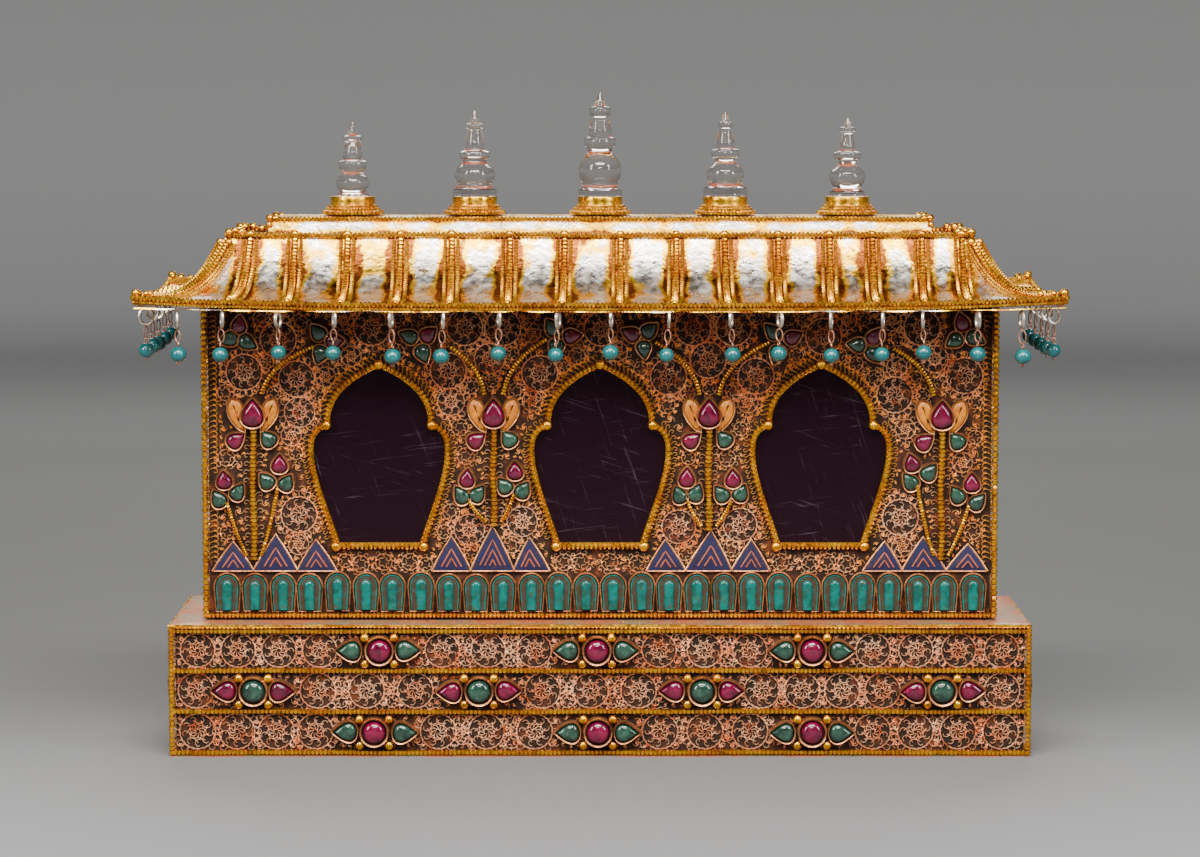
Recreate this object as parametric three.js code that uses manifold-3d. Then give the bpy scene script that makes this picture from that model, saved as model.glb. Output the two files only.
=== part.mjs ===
import * as THREE from 'three';
import { mergeVertices } from 'three/addons/utils/BufferGeometryUtils.js';
import Module from 'manifold-3d';

// A gilt altar box: a plinth, a hollow cabinet with three windows, and a hipped roof with finials.
// Millimetres, +Z up, the front towards -Y, the origin at the centre of the underside.

const wasm = await Module();
wasm.setup();

// Clearance between pieces that touch
const GAP = 0.3;

// Plinth: the body inside its edging wires
const PLINTH_WIDTH = 304.8;
const PLINTH_DEPTH = 70.8;
const PLINTH_HEIGHT = 48;
const PLINTH_WIRE = 2.3;
const PLINTH_BANDS = 3;

// Gem clusters on the plinth: a round stone between two drops
const GEM_RADIUS = 5.3;
const GEM_HEIGHT = 4.6;
const GEM_BEZEL = 3;
const GEM_DROP_LENGTH = 11.4;
const GEM_DROP_WIDTH = 7.2;
const GEM_OUTER_PITCH = 79;
const GEM_MIDDLE_PITCH = 83;
const GEM_SIDE_PITCH = 35;

// Cabinet: the walls inside the corner posts
const CABINET_WIDTH = 281.8;
const CABINET_DEPTH = 46.8;
const CABINET_HEIGHT = 113.3;
const CABINET_WALL = 1.6;
const CABINET_WIRE = 2.3;

// Windows: half widths and rises of the opening, measured from its sill
const WINDOW_PITCH = 79.5;
const SILL_LEVEL = 27.2;
const SILL_HALF = 14.8;
const LOBE_HALF = 24;
const LOBE_RISE = 34.5;
const CUSP_HALF = 17.9;
const CUSP_RISE = 42.5;
const WINDOW_HEIGHT = 64.2;
const FRAME_WIRE = 2.5;
const FRAME_LAP = 0.4;
const PANE_THICKNESS = 1.1;

// Petal rows round the foot of the cabinet
const PETAL_PITCH = 9.97;
const PETAL_HEIGHT = 13.8;
const PETAL_RELIEF = 2;
const PETAL_VALLEY = 0.7;

// Mountain groups, three peaks each, above the petals; the outer ones stand clear of the corners
const MOUNTAIN_MARGIN = 1.5;
const PEAK_PITCH = 14.9;
const PEAK_WIDTH = 15.3;
const PEAK_HEIGHT = 12.4;
const PEAK_MIDDLE_HEIGHT = 15.4;
const PEAK_RELIEF = 2.2;

// Lotus trees: levels above the foot of the cabinet, the outer ones inset from the corners
const TREE_INSET = 17.1;
const TREE_RELIEF = 2.3;
const STEM_WIRE = 2.2;
const TWIG_WIRE = 1.4;
const STEM_OUTER_LEVEL = 21.5;
const FLOWER_LEVEL = 74;
const FLOWER_LENGTH = 11.2;
const FLOWER_WIDTH = 9.6;
const FLOWER_REACH = 5.6;
const TWIG_LEVEL = 48.7;
const TWIG_REACH = 8.3;
const LEAF_LENGTH = 6.8;
const LEAF_WIDTH = 5;
const CROWN_LEVEL = 101;
const CROWN_REACH = 25;
const CROWN_REACH_CORNER = 6.5;

// Roof: the sheet inside its eave wire
const ROOF_WIDTH = 325;
const ROOF_DEPTH = 114.4;
const ROOF_TOP_WIDTH = 266;
const ROOF_TOP_DEPTH = 45;
const ROOF_RISE = 22.3;
const ROOF_WALL = 1.2;
const ROOF_SWEEP = 3.2;
const EAVE_THICKNESS = 1.8;
const CORNER_LIFT = 2.6;
const LIP_DEPTH = 4;
const EAVE_WIRE = 1.8;
const RIB_WIDTH = 5.8;
const RIB_HEIGHT = 1.6;
const RIB_PITCH = 18.55;
const HIP_WIDTH = 4.8;
const CORNER_BALL = 3.6;

// Pendants under the eave
const STRIP_HEIGHT = 2;
const STRIP_THICKNESS = 0.9;
const RING_DIAMETER = 6;
const LINK_LENGTH = 5;
const LINK_WIRE = 0.7;
const BEAD_DIAMETER = 6;

// Ridge box
const RIDGE_WIDTH = 240;
const RIDGE_DEPTH = 27;
const RIDGE_HEIGHT = 6.7;
const RIDGE_TAPER = 1.5;
const RIDGE_WIRE = 1.6;

// Finials: two rings and a collar under each crystal
const RING_FOOT_RADIUS = 11.5;
const RING_FOOT_HEIGHT = 1.8;
const RING_STEP_RADIUS = 9.8;
const RING_STEP_HEIGHT = 1.4;
const COLLAR_RADIUS = 8.2;
const COLLAR_HEIGHT = 3.4;
const CRYSTAL_HEIGHT = 37.8;
const CRYSTAL_RADIUS = 7.7;

// Each crystal: its place as a share of the ridge's width, and its height and its foot's and
// body's radii as shares of the middle one's height, the collar's radius and the middle one's radius
const FINIALS = [
  { along: -0.375, height: 0.714, foot: 0.756, body: 0.805 },
  { along: -0.19, height: 0.831, foot: 1, body: 0.961 },
  { along: 0, height: 1, foot: 1, body: 1 },
  { along: 0.19, height: 0.812, foot: 1, body: 0.896 },
  { along: 0.375, height: 0.757, foot: 0.829, body: 0.883 },
];

// Heights and half sizes worked out from the driving dimensions
const plinthX = PLINTH_WIDTH / 2;
const plinthY = PLINTH_DEPTH / 2;
const cabinetX = CABINET_WIDTH / 2;
const cabinetY = CABINET_DEPTH / 2;
const cabinetFoot = PLINTH_HEIGHT + GAP;
const cabinetTop = cabinetFoot + CABINET_HEIGHT;
const petalFoot = cabinetFoot + CABINET_WIRE + GAP;
const petalTop = petalFoot + PETAL_HEIGHT;
const mountainFoot = petalTop + GAP;
const sill = cabinetFoot + SILL_LEVEL;
const betweenWindows = WINDOW_PITCH / 2;
const mountainOuter = cabinetX - MOUNTAIN_MARGIN - PEAK_PITCH - PEAK_WIDTH / 2;
const treeOuter = cabinetX - TREE_INSET;
const roofFoot = cabinetTop + GAP;
const eaveTop = roofFoot + EAVE_THICKNESS;
const roofTop = eaveTop + ROOF_RISE;
const ridgeFoot = roofTop + GAP;
const ridgeTop = ridgeFoot + RIDGE_HEIGHT;

const finish = (color, roughness, metalness) =>
  new THREE.MeshStandardMaterial({ color, roughness, metalness });
const GILT = finish(0xc98a3c, 0.35, 1);
const COPPER = finish(0xa5603a, 0.4, 1);
const SILVER = finish(0xb9b3a6, 0.35, 1);
const TINTED = finish(0x23111a, 0.1, 0);
const GREEN_STONE = finish(0x14967f, 0.35, 0);
const LAPIS = finish(0x3c3c6e, 0.4, 0);
const RUBY = finish(0xa01446, 0.2, 0);
const TURQUOISE = finish(0x00a9a2, 0.4, 0);
const CRYSTAL = finish(0xe8e4dc, 0.05, 0);

const altarBox = new THREE.Group();

// Solids from geometries, and back
function solid(geometry) {
  const bare = geometry.clone();
  bare.deleteAttribute('normal');
  bare.deleteAttribute('uv');
  const merged = mergeVertices(bare, 1e-4);
  const corners = Array.from(merged.index.array);
  const faces = corners.filter((_, index) => {
    const start = index - (index % 3);
    return new Set(corners.slice(start, start + 3)).size === 3;
  });
  return new wasm.Manifold(new wasm.Mesh({
    numProp: 3,
    vertProperties: new Float32Array(merged.attributes.position.array),
    triVerts: new Uint32Array(faces),
  }));
}

function geometryOf(body) {
  const mesh = body.getMesh();
  return geometryFrom(mesh.vertProperties, Array.from(mesh.triVerts));
}

function geometryFrom(positions, index) {
  const geometry = new THREE.BufferGeometry();
  geometry.setAttribute('position', new THREE.BufferAttribute(new Float32Array(positions), 3));
  geometry.setIndex(index);
  geometry.computeVertexNormals();
  return geometry;
}

const join = (geometries) => geometries.map(solid).reduce((whole, body) => whole.add(body));

function place(name, shape, material, position = [0, 0, 0], turn = 0) {
  const body = shape.isBufferGeometry ? solid(shape) : shape;
  const mesh = new THREE.Mesh(geometryOf(body), material);
  mesh.name = name;
  mesh.position.set(...position);
  mesh.rotation.z = turn;
  altarBox.add(mesh);
}

// A box centred on the Z axis, standing at the given level
const block = (width, depth, height, level = 0) =>
  new THREE.BoxGeometry(width, depth, height).translate(0, 0, level + height / 2);

// A skin over rings of points, each ring anticlockwise seen from where the rings run to.
// A last ring may shrink to one point. Each face is split along its shorter diagonal.
function loft(rings, closed = false) {
  const count = rings[0].length;
  const points = rings.flat();
  const faces = [];
  for (let ring = 0; ring < rings.length - (closed ? 0 : 1); ring += 1) {
    for (let side = 0; side < count; side += 1) {
      const next = (side + 1) % count;
      const [a, b] = [ring * count + side, ring * count + next];
      const above = ((ring + 1) % rings.length) * count;
      const [c, d] = [above + next, above + side];
      const split = points[a].distanceTo(points[c]) < points[b].distanceTo(points[d]);
      faces.push(...(split ? [a, b, c, a, c, d] : [a, b, d, b, c, d]));
    }
  }
  const last = (rings.length - 1) * count;
  for (let side = 1; side < count - 1 && !closed; side += 1) {
    faces.push(0, side + 1, side, last, last + side, last + side + 1);
  }
  return geometryFrom(points.flatMap((point) => [point.x, point.y, point.z]), faces);
}

function polygon(sides, radius) {
  return Array.from({ length: sides }, (_, side) => {
    const angle = ((side + 0.5) * 2 * Math.PI) / sides;
    return new THREE.Vector2(radius * Math.cos(angle), radius * Math.sin(angle));
  });
}

// The section of a wire, four-sided and as wide as the wire
const wireSection = (radius) => polygon(4, radius * Math.SQRT2);

// An upright wire between two levels
function post(x, y, foot, head, radius) {
  return loft([foot, head].map((level) =>
    wireSection(radius).map((corner) => new THREE.Vector3(x + corner.x, y + corner.y, level))));
}

const CORNERS = [[1, 1], [1, -1], [-1, -1], [-1, 1]];

// A wire bent round a rectangle with mitred corners
function rectangleWire(halfX, halfY, level, radius) {
  return loft(CORNERS.map(([x, y]) => wireSection(radius).map((point) =>
    new THREE.Vector3(x * (halfX + point.x), y * (halfY + point.x), level + point.y))), true);
}

// A form on a front face: its outline in X and Z rises towards -Y through pairs of rise and share
function raised(outline, levels) {
  return loft(levels.map(([rise, share]) => outline.map((point) =>
    new THREE.Vector3(point.x * share, -rise, point.y * share))));
}

// A drop stone with its point along the given angle
function dropOutline(length, width, angle) {
  const half = [[-0.45, 0.27], [0, 0.5]];
  const upper = half.map(([along, across]) => new THREE.Vector2(along * length, across * width));
  const lower = upper.map((corner) => new THREE.Vector2(corner.x, -corner.y));
  const outline = [...lower, new THREE.Vector2(length / 2, 0), ...upper.reverse()];
  return outline.map((corner) => corner.rotateAround(new THREE.Vector2(), angle));
}

// The two ends of the box, each with its turn from the front
const ENDS = [
  { name: 'left', across: -1, turn: -Math.PI / 2 },
  { name: 'right', across: 1, turn: Math.PI / 2 },
];

// Plinth
const plinthWirePitch = (PLINTH_HEIGHT - PLINTH_WIRE - GAP) / PLINTH_BANDS;
const plinthWireLevel = (level) => GAP + PLINTH_WIRE / 2 + level * plinthWirePitch;
const bandMiddle = (band) => plinthWireLevel(band) + plinthWirePitch / 2;

function makePlinth() {
  place('plinth', block(PLINTH_WIDTH, PLINTH_DEPTH, PLINTH_HEIGHT), COPPER);
  const radius = PLINTH_WIRE / 2;
  const wireX = plinthX + GAP + radius;
  const wireY = plinthY + GAP + radius;
  const wires = [];
  for (let level = 0; level <= PLINTH_BANDS; level += 1) {
    wires.push(rectangleWire(wireX, wireY, plinthWireLevel(level), radius));
  }
  for (const [x, y] of CORNERS) {
    wires.push(post(x * wireX, y * wireY, plinthWireLevel(0), plinthWireLevel(PLINTH_BANDS), radius));
  }
  place('plinth_edging', join(wires), GILT);
}

function gemCluster() {
  const round = raised(polygon(7, GEM_RADIUS), [[0, 1], [GEM_BEZEL, 1], [GEM_HEIGHT, 0.5]]);
  const drops = [-1, 1].map((side) => {
    const outline = dropOutline(GEM_DROP_LENGTH, GEM_DROP_WIDTH, side > 0 ? 0 : Math.PI);
    const drop = raised(outline, [[0, 1], [GEM_HEIGHT * 0.85, 0.45]]);
    return drop.translate(side * (GEM_RADIUS + 0.38 * GEM_DROP_LENGTH), 0, 0);
  });
  return join([round, ...drops]);
}

function makeGems() {
  const cluster = gemCluster();
  const rows = [
    { name: 'bottom', band: 0, places: [-1, 0, 1].map((step) => step * GEM_OUTER_PITCH) },
    { name: 'middle', band: 1, places: [-1.5, -0.5, 0.5, 1.5].map((step) => step * GEM_MIDDLE_PITCH) },
    { name: 'top', band: 2, places: [-1, 0, 1].map((step) => step * GEM_OUTER_PITCH) },
  ];
  for (const row of rows) {
    row.places.forEach((x, index) => {
      const name = `plinth_gems_${row.name}_${index + 1}`;
      place(name, cluster, RUBY, [x, -plinthY - GAP, bandMiddle(row.band)]);
    });
  }
  const endPlaces = [[0, 0], [1, -0.5], [1, 0.5], [2, 0]];
  for (const end of ENDS) {
    endPlaces.forEach(([band, step], index) => {
      const position = [end.across * (plinthX + GAP), step * GEM_SIDE_PITCH, bandMiddle(band)];
      place(`plinth_gems_${end.name}_${index + 1}`, cluster, RUBY, position, end.turn);
    });
  }
}

// Straight steps along each curve of a window: its side, its lobe and its pointed top
const CURVE_STEPS = [3, 3, 4];

// The right half of a window from its sill up to the point, then its mirror image
function windowOutline(grow) {
  const foot = SILL_HALF + grow;
  const lobe = LOBE_HALF + grow;
  const cusp = CUSP_HALF + grow;
  const cuspRise = CUSP_RISE + grow * 0.4;
  const top = WINDOW_HEIGHT + grow * 1.2;
  const path = new THREE.Path();
  path.moveTo(foot, -grow);
  path.bezierCurveTo(
    (foot + lobe) / 2, LOBE_RISE * 0.42, lobe, LOBE_RISE * 0.7, lobe, LOBE_RISE);
  path.bezierCurveTo(
    lobe, LOBE_RISE + (cuspRise - LOBE_RISE) * 0.7, (cusp + lobe) / 2, cuspRise, cusp, cuspRise);
  path.bezierCurveTo(
    cusp + 1, cuspRise + (top - cuspRise) * 0.5, cusp * 0.55, top - (top - cuspRise) * 0.2, 0, top);
  const right = path.curves.flatMap((curve, index) => curve.getPoints(CURVE_STEPS[index]).slice(1));
  right.unshift(new THREE.Vector2(foot, -grow));
  const left = right.slice(0, -1).reverse().map((point) => new THREE.Vector2(-point.x, point.y));
  return [...right, ...left];
}

// The window outline in X and Z, drawn out between two places in Y
function windowPrism(grow, front, back) {
  return loft([back, front].map((y) =>
    windowOutline(grow).map((point) => new THREE.Vector3(point.x, y, point.y))));
}

const WINDOWS = [['left', -WINDOW_PITCH], ['centre', 0], ['right', WINDOW_PITCH]];

function windowFrame() {
  const inner = windowOutline(-FRAME_LAP);
  const outer = windowOutline(FRAME_WIRE - FRAME_LAP);
  const back = -cabinetY - GAP;
  const front = back - FRAME_WIRE + GAP;
  return loft(inner.map((near, index) => {
    const far = outer[index];
    const ridge = near.clone().lerp(far, 0.5);
    return [[near, back], [ridge, front], [far, back]].map(([point, y]) =>
      new THREE.Vector3(point.x, y, point.y));
  }), true);
}

function makeCabinet() {
  const walls = solid(block(CABINET_WIDTH, CABINET_DEPTH, CABINET_HEIGHT, cabinetFoot));
  const inside = solid(block(CABINET_WIDTH - 2 * CABINET_WALL, CABINET_DEPTH - 2 * CABINET_WALL,
    CABINET_HEIGHT, cabinetFoot + CABINET_WALL));
  const opening = windowPrism(0, -cabinetY - CABINET_WALL, -cabinetY + 2 * CABINET_WALL);
  let cabinet = walls.subtract(inside);
  const paneBack = -cabinetY + CABINET_WALL;
  const pane = windowPrism(-GAP, paneBack - PANE_THICKNESS, paneBack);
  const frame = windowFrame();
  for (const [name, x] of WINDOWS) {
    cabinet = cabinet.subtract(solid(opening).translate([x, 0, sill]));
    place(`window_pane_${name}`, pane, TINTED, [x, 0, sill]);
    place(`window_frame_${name}`, frame, GILT, [x, 0, sill]);
  }
  place('cabinet', cabinet, GILT);
}

function makeCabinetEdging() {
  const radius = CABINET_WIRE / 2;
  const postX = cabinetX + GAP + radius;
  const postY = cabinetY + GAP + radius;
  const footLevel = cabinetFoot + radius;
  const wires = [rectangleWire(postX, postY, footLevel, radius)];
  for (const [x, y] of CORNERS) {
    wires.push(post(x * postX, y * postY, footLevel, cabinetTop, radius));
  }
  place('cabinet_edging', join(wires), GILT);
}

// Petals in one strip: each rises to a keel and a point, and falls to a valley on either side
function petalRow(length) {
  const count = Math.floor(length / PETAL_PITCH);
  return loft(Array.from({ length: 2 * count + 1 }, (_, index) => {
    const keel = index % 2 === 1;
    const x = (index / 2 - count / 2) * PETAL_PITCH;
    const front = keel ? -PETAL_RELIEF : -PETAL_VALLEY;
    const top = keel ? PETAL_HEIGHT : 0.62 * PETAL_HEIGHT;
    return [[front, 0], [0, 0], [0, top], [front, top]].map(([y, z]) => new THREE.Vector3(x, y, z));
  }));
}

function makePetals() {
  const long = petalRow(CABINET_WIDTH);
  const short = petalRow(CABINET_DEPTH);
  const y = cabinetY + GAP;
  place('petal_row_front', long, GREEN_STONE, [0, -y, petalFoot]);
  place('petal_row_back', long, GREEN_STONE, [0, y, petalFoot], Math.PI);
  for (const end of ENDS) {
    const x = end.across * (cabinetX + GAP);
    place(`petal_row_${end.name}`, short, GREEN_STONE, [x, 0, petalFoot], end.turn);
  }
}

// Mountains: three peaks whose feet overlap, the middle one taller
function mountainGroup() {
  const peaks = [-1, 0, 1].map((step) => {
    const height = step === 0 ? PEAK_MIDDLE_HEIGHT : PEAK_HEIGHT;
    const half = PEAK_WIDTH / 2;
    const outline = [[-half, -height / 3], [half, -height / 3], [0, (2 * height) / 3]]
      .map(([x, z]) => new THREE.Vector2(x, z));
    const peak = raised(outline, [[0, 1], [PEAK_RELIEF, 0.3]]);
    return peak.translate(step * PEAK_PITCH, 0, height / 3);
  });
  return join(peaks);
}

function makeMountains() {
  const group = mountainGroup();
  [-mountainOuter, -betweenWindows, betweenWindows, mountainOuter].forEach((x, index) => {
    place(`mountains_front_${index + 1}`, group, LAPIS, [x, -cabinetY - GAP, mountainFoot]);
  });
  for (const end of ENDS) {
    const position = [end.across * (cabinetX + GAP), 0, mountainFoot];
    place(`mountains_${end.name}`, group, LAPIS, position, end.turn);
  }
}

// Lotus trees, drawn on the wall plane with the foot of the cabinet as level 0
function drop(x, z, length, width, angle, share) {
  return raised(dropOutline(length, width, angle), [[0, 1], [TREE_RELIEF, share]]).translate(x, 0, z);
}

// Three leaves in one outline, pointed at their tips and creased up to the middle
function leaves(x, z) {
  const outline = [-2.1, 0, 2.1].flatMap((turn) => [-0.5, 0, 0.5].map((side) =>
    new THREE.Vector2(0, side === 0 ? LEAF_LENGTH * 1.05 : LEAF_LENGTH * 0.72)
      .rotateAround(new THREE.Vector2(), turn + side)));
  return raised(outline, [[0, 1], [TREE_RELIEF, 0]]).translate(x, 0, z);
}

// A wire on the wall through points in X and Z, with a ridge along its front
function wallWire(path, wire) {
  const points = path.map(([x, z]) => new THREE.Vector2(x, z));
  return loft(points.map((point, index) => {
    const before = points[Math.max(0, index - 1)];
    const after = points[Math.min(points.length - 1, index + 1)];
    const across = new THREE.Vector2().subVectors(after, before).normalize()
      .rotateAround(new THREE.Vector2(), Math.PI / 2).multiplyScalar(wire / 2);
    return [[-1, 0], [1, 0], [0, -wire]].map(([share, y]) =>
      new THREE.Vector3(point.x + share * across.x, y, point.y + share * across.y));
  }));
}

function lotusTree(stemLevel, crowns) {
  const up = Math.PI / 2;
  const pieces = [
    drop(0, FLOWER_LEVEL, FLOWER_LENGTH, FLOWER_WIDTH, up, 0.45),
    wallWire([[0, stemLevel], [0, FLOWER_LEVEL]], STEM_WIRE),
  ];
  for (const side of [-1, 1]) {
    const petalX = side * FLOWER_REACH;
    const petalTurn = up - side * 0.35;
    pieces.push(drop(petalX, FLOWER_LEVEL, FLOWER_LENGTH, FLOWER_WIDTH * 0.75, petalTurn, 0));
    const budX = side * LEAF_LENGTH * 0.5;
    const budLevel = FLOWER_LEVEL - FLOWER_LENGTH / 2 - LEAF_LENGTH * 0.4;
    const budTurn = up - side * 0.9 * up;
    pieces.push(drop(budX, budLevel, LEAF_LENGTH, LEAF_WIDTH, budTurn, 0));
    const twigX = side * TWIG_REACH;
    pieces.push(wallWire([[0, TWIG_LEVEL - 1.9 * LEAF_LENGTH], [twigX, TWIG_LEVEL]], TWIG_WIRE));
    pieces.push(leaves(twigX, TWIG_LEVEL));
  }
  for (const x of crowns) {
    const bend = [x * 0.4, FLOWER_LEVEL + (CROWN_LEVEL - FLOWER_LEVEL) * 0.7];
    pieces.push(wallWire([[Math.sign(x), FLOWER_LEVEL], bend, [x, CROWN_LEVEL]], TWIG_WIRE));
    pieces.push(leaves(x, CROWN_LEVEL));
  }
  return join(pieces);
}

function makeTrees() {
  const overPeak = mountainFoot - cabinetFoot + PEAK_MIDDLE_HEIGHT + GAP;
  const trees = [
    [-treeOuter, STEM_OUTER_LEVEL, [-CROWN_REACH_CORNER, CROWN_REACH]],
    [-betweenWindows, overPeak, [-CROWN_REACH, CROWN_REACH]],
    [betweenWindows, overPeak, [-CROWN_REACH, CROWN_REACH]],
    [treeOuter, STEM_OUTER_LEVEL, [-CROWN_REACH, CROWN_REACH_CORNER]],
  ];
  trees.forEach(([x, stemLevel, crowns], index) => {
    const tree = lotusTree(stemLevel, crowns);
    place(`lotus_tree_front_${index + 1}`, tree, RUBY, [x, -cabinetY - GAP, cabinetFoot]);
  });
  const endTree = lotusTree(overPeak, []);
  for (const end of ENDS) {
    const position = [end.across * (cabinetX + GAP), 0, cabinetFoot];
    place(`lotus_tree_${end.name}`, endTree, RUBY, position, end.turn);
  }
}

// Roof: shares of the way down the slope, and places along an eave, where the sheet is creased
const SLOPE_STEPS = [0, 0.16, 0.4, 1];
const EAVE_BEND = 0.8;
const EAVE_STEPS = [-1, -EAVE_BEND, EAVE_BEND];
const lerp = THREE.MathUtils.lerp;
const eaveLift = (along) => (CORNER_LIFT * (Math.abs(along) - EAVE_BEND)) / (1 - EAVE_BEND);
const slopeLevel = (down) => eaveTop + ROOF_RISE * (1 - down) ** ROOF_SWEEP;

// One level of the roof, clockwise seen from above, moved outwards and upwards
function roofRing(down, out, raise, lift) {
  const halfX = lerp(ROOF_TOP_WIDTH, ROOF_WIDTH, down) / 2 + out;
  const halfY = lerp(ROOF_TOP_DEPTH, ROOF_DEPTH, down) / 2 + out;
  const vertical = new THREE.Vector3(0, 0, 1);
  return [0, 1, 2, 3].flatMap((side) => EAVE_STEPS.map((along) => {
    const [reach, half] = side % 2 === 0 ? [halfX, halfY] : [halfY, halfX];
    const level = slopeLevel(down) + raise + lift * down * down * eaveLift(along);
    const turn = (-side * Math.PI) / 2;
    return new THREE.Vector3(reach, -along * half, level).applyAxisAngle(vertical, turn);
  }));
}

function roofBody(margin, foot, lift) {
  const slopes = SLOPE_STEPS.map((down) => roofRing(down, margin, margin, lift)).reverse();
  const base = slopes[0].map((point) => new THREE.Vector3(point.x, point.y, foot));
  return solid(loft([base, ...slopes].map((ring) => ring.reverse())));
}

function makeRoof() {
  const skin = roofBody(0, roofFoot, 1);
  const under = roofBody(-ROOF_WALL, roofFoot - EAVE_THICKNESS, 0);
  const soffit = solid(block(ROOF_WIDTH, ROOF_DEPTH, 2 * EAVE_THICKNESS, roofFoot - EAVE_THICKNESS));
  const lipX = CABINET_WIDTH - 2 * CABINET_WALL - 2 * GAP;
  const lipY = CABINET_DEPTH - 2 * CABINET_WALL - 2 * GAP;
  const lip = solid(block(lipX, lipY, LIP_DEPTH + EAVE_THICKNESS, roofFoot - LIP_DEPTH));
  const hole = solid(block(lipX - 2 * ROOF_WALL, lipY - 2 * ROOF_WALL,
    LIP_DEPTH + 2 * EAVE_THICKNESS, roofFoot - LIP_DEPTH - GAP));
  place('roof', skin.subtract(under.subtract(soffit)).add(lip).subtract(hole), SILVER);
}

// A wire round one level of the roof, its middle moved outwards and upwards
function roofWire(down, out, raise) {
  const corners = wireSection(EAVE_WIRE / 2).map((point) =>
    roofRing(down, out + point.x, raise + point.y, 1));
  return loft(corners[0].map((_, index) => corners.map((ring) => ring[index])), true);
}

// Where a slope stands at one place along its eave: how far out, and how high, at each step down
function slopePath(across, top, eave, otherTop, otherEave) {
  return SLOPE_STEPS.map((down) => {
    const along = Math.min(1, (2 * Math.abs(across)) / lerp(otherTop, otherEave, down));
    const lift = down * down * eaveLift(Math.max(along, EAVE_BEND));
    return { out: lerp(top, eave, down) / 2, level: slopeLevel(down) + lift };
  });
}

// A rib down the front slope, from the top wire to the eave wire
function rib(across, top, eave, otherTop, otherEave) {
  const section = [[-0.5, 0], [0.5, 0], [0, 1]];
  const path = slopePath(across, top, eave, otherTop, otherEave);
  path.at(-1).out += GAP + EAVE_WIRE / 2;
  return solid(loft(path.map(({ out, level }, index) => section.map(([side, rise]) => new THREE.Vector3(
    across + side * RIB_WIDTH, -out,
    level + GAP + rise * (index < path.length - 1 ? RIB_HEIGHT : EAVE_WIRE / 4))))));
}

function hip(x, y) {
  const section = [[-1, 0], [1, 0], [0, 1.2]];
  const spreadX = x * (ROOF_WIDTH - ROOF_TOP_WIDTH);
  const spreadY = y * (ROOF_DEPTH - ROOF_TOP_DEPTH);
  const across = new THREE.Vector3(-spreadY, spreadX, 0).setLength(HIP_WIDTH / 2);
  return solid(loft(SLOPE_STEPS.map((down) => section.map(([side, rise]) => new THREE.Vector3(
    (x * ROOF_TOP_WIDTH + spreadX * down) / 2, (y * ROOF_TOP_DEPTH + spreadY * down) / 2,
    slopeLevel(down) + down * down * CORNER_LIFT + GAP + rise * RIB_HEIGHT)
    .addScaledVector(across, side)))));
}

// Places at a pitch, centred, that fit in a length
function places(length, pitch) {
  const each = Math.floor(length / 2 / pitch);
  return Array.from({ length: 2 * each + 1 }, (_, index) => (index - each) * pitch);
}

function makeRoofWirework() {
  const radius = EAVE_WIRE / 2;
  const pieces = [
    solid(roofWire(1, GAP + radius, 0)),
    solid(roofWire(0, 0, GAP / 2 + radius)),
  ];
  const slopes = [
    [ROOF_TOP_DEPTH, ROOF_DEPTH, ROOF_TOP_WIDTH, ROOF_WIDTH, [0, 180]],
    [ROOF_TOP_WIDTH, ROOF_WIDTH, ROOF_TOP_DEPTH, ROOF_DEPTH, [90, 270]],
  ];
  for (const [top, eave, otherTop, otherEave, turns] of slopes) {
    for (const across of places(otherTop - RIB_WIDTH, RIB_PITCH)) {
      const one = rib(across, top, eave, otherTop, otherEave);
      pieces.push(...turns.map((turn) => one.rotate([0, 0, turn])));
    }
  }
  for (const [x, y] of CORNERS) {
    pieces.push(hip(x, y));
    for (const down of [0, 1]) {
      const ball = new THREE.OctahedronGeometry(CORNER_BALL / 2);
      const halfX = lerp(ROOF_TOP_WIDTH, ROOF_WIDTH, down) / 2;
      const halfY = lerp(ROOF_TOP_DEPTH, ROOF_DEPTH, down) / 2;
      const level = slopeLevel(down) + down * CORNER_LIFT + GAP + CORNER_BALL / 2;
      pieces.push(solid(ball.translate(x * halfX, y * halfY, level)));
    }
  }
  place('roof_wirework', pieces.reduce((body, piece) => body.add(piece)), GILT);
}

// A bead on its wire, hanging from the edge strip
function pendant(x, y, head) {
  const beadTop = head - STRIP_HEIGHT - RING_DIAMETER - LINK_LENGTH;
  const levels = [[head, LINK_WIRE / 2], [beadTop, LINK_WIRE / 2], [beadTop - BEAD_DIAMETER / 2,
    BEAD_DIAMETER / 2], [beadTop - BEAD_DIAMETER, 0]];
  return loft(levels.map(([level, radius]) => polygon(4, radius).reverse().map((point) =>
    new THREE.Vector3(x + point.x, y + point.y, level))));
}

function makePendants() {
  const head = roofFoot - GAP;
  const stripX = (ROOF_WIDTH - STRIP_THICKNESS) / 2;
  const stripY = (ROOF_DEPTH - STRIP_THICKNESS) / 2;
  const corner = polygon(4, Math.SQRT1_2);
  const strip = loft(CORNERS.map(([x, y]) => corner.map((point) => new THREE.Vector3(
    x * (stripX + point.x * STRIP_THICKNESS), y * (stripY + point.x * STRIP_THICKNESS),
    head - STRIP_HEIGHT / 2 + point.y * STRIP_HEIGHT))), true);
  const pieces = [strip];
  for (const side of [-1, 1]) {
    for (const x of places(ROOF_WIDTH - BEAD_DIAMETER, RIB_PITCH)) {
      pieces.push(pendant(x, side * stripY, head - STRIP_HEIGHT / 2));
    }
    for (const y of places(ROOF_DEPTH - 4 * BEAD_DIAMETER, RIB_PITCH)) {
      pieces.push(pendant(side * stripX, y, head - STRIP_HEIGHT / 2));
    }
  }
  place('eave_pendants', join(pieces), TURQUOISE);
}

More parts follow.
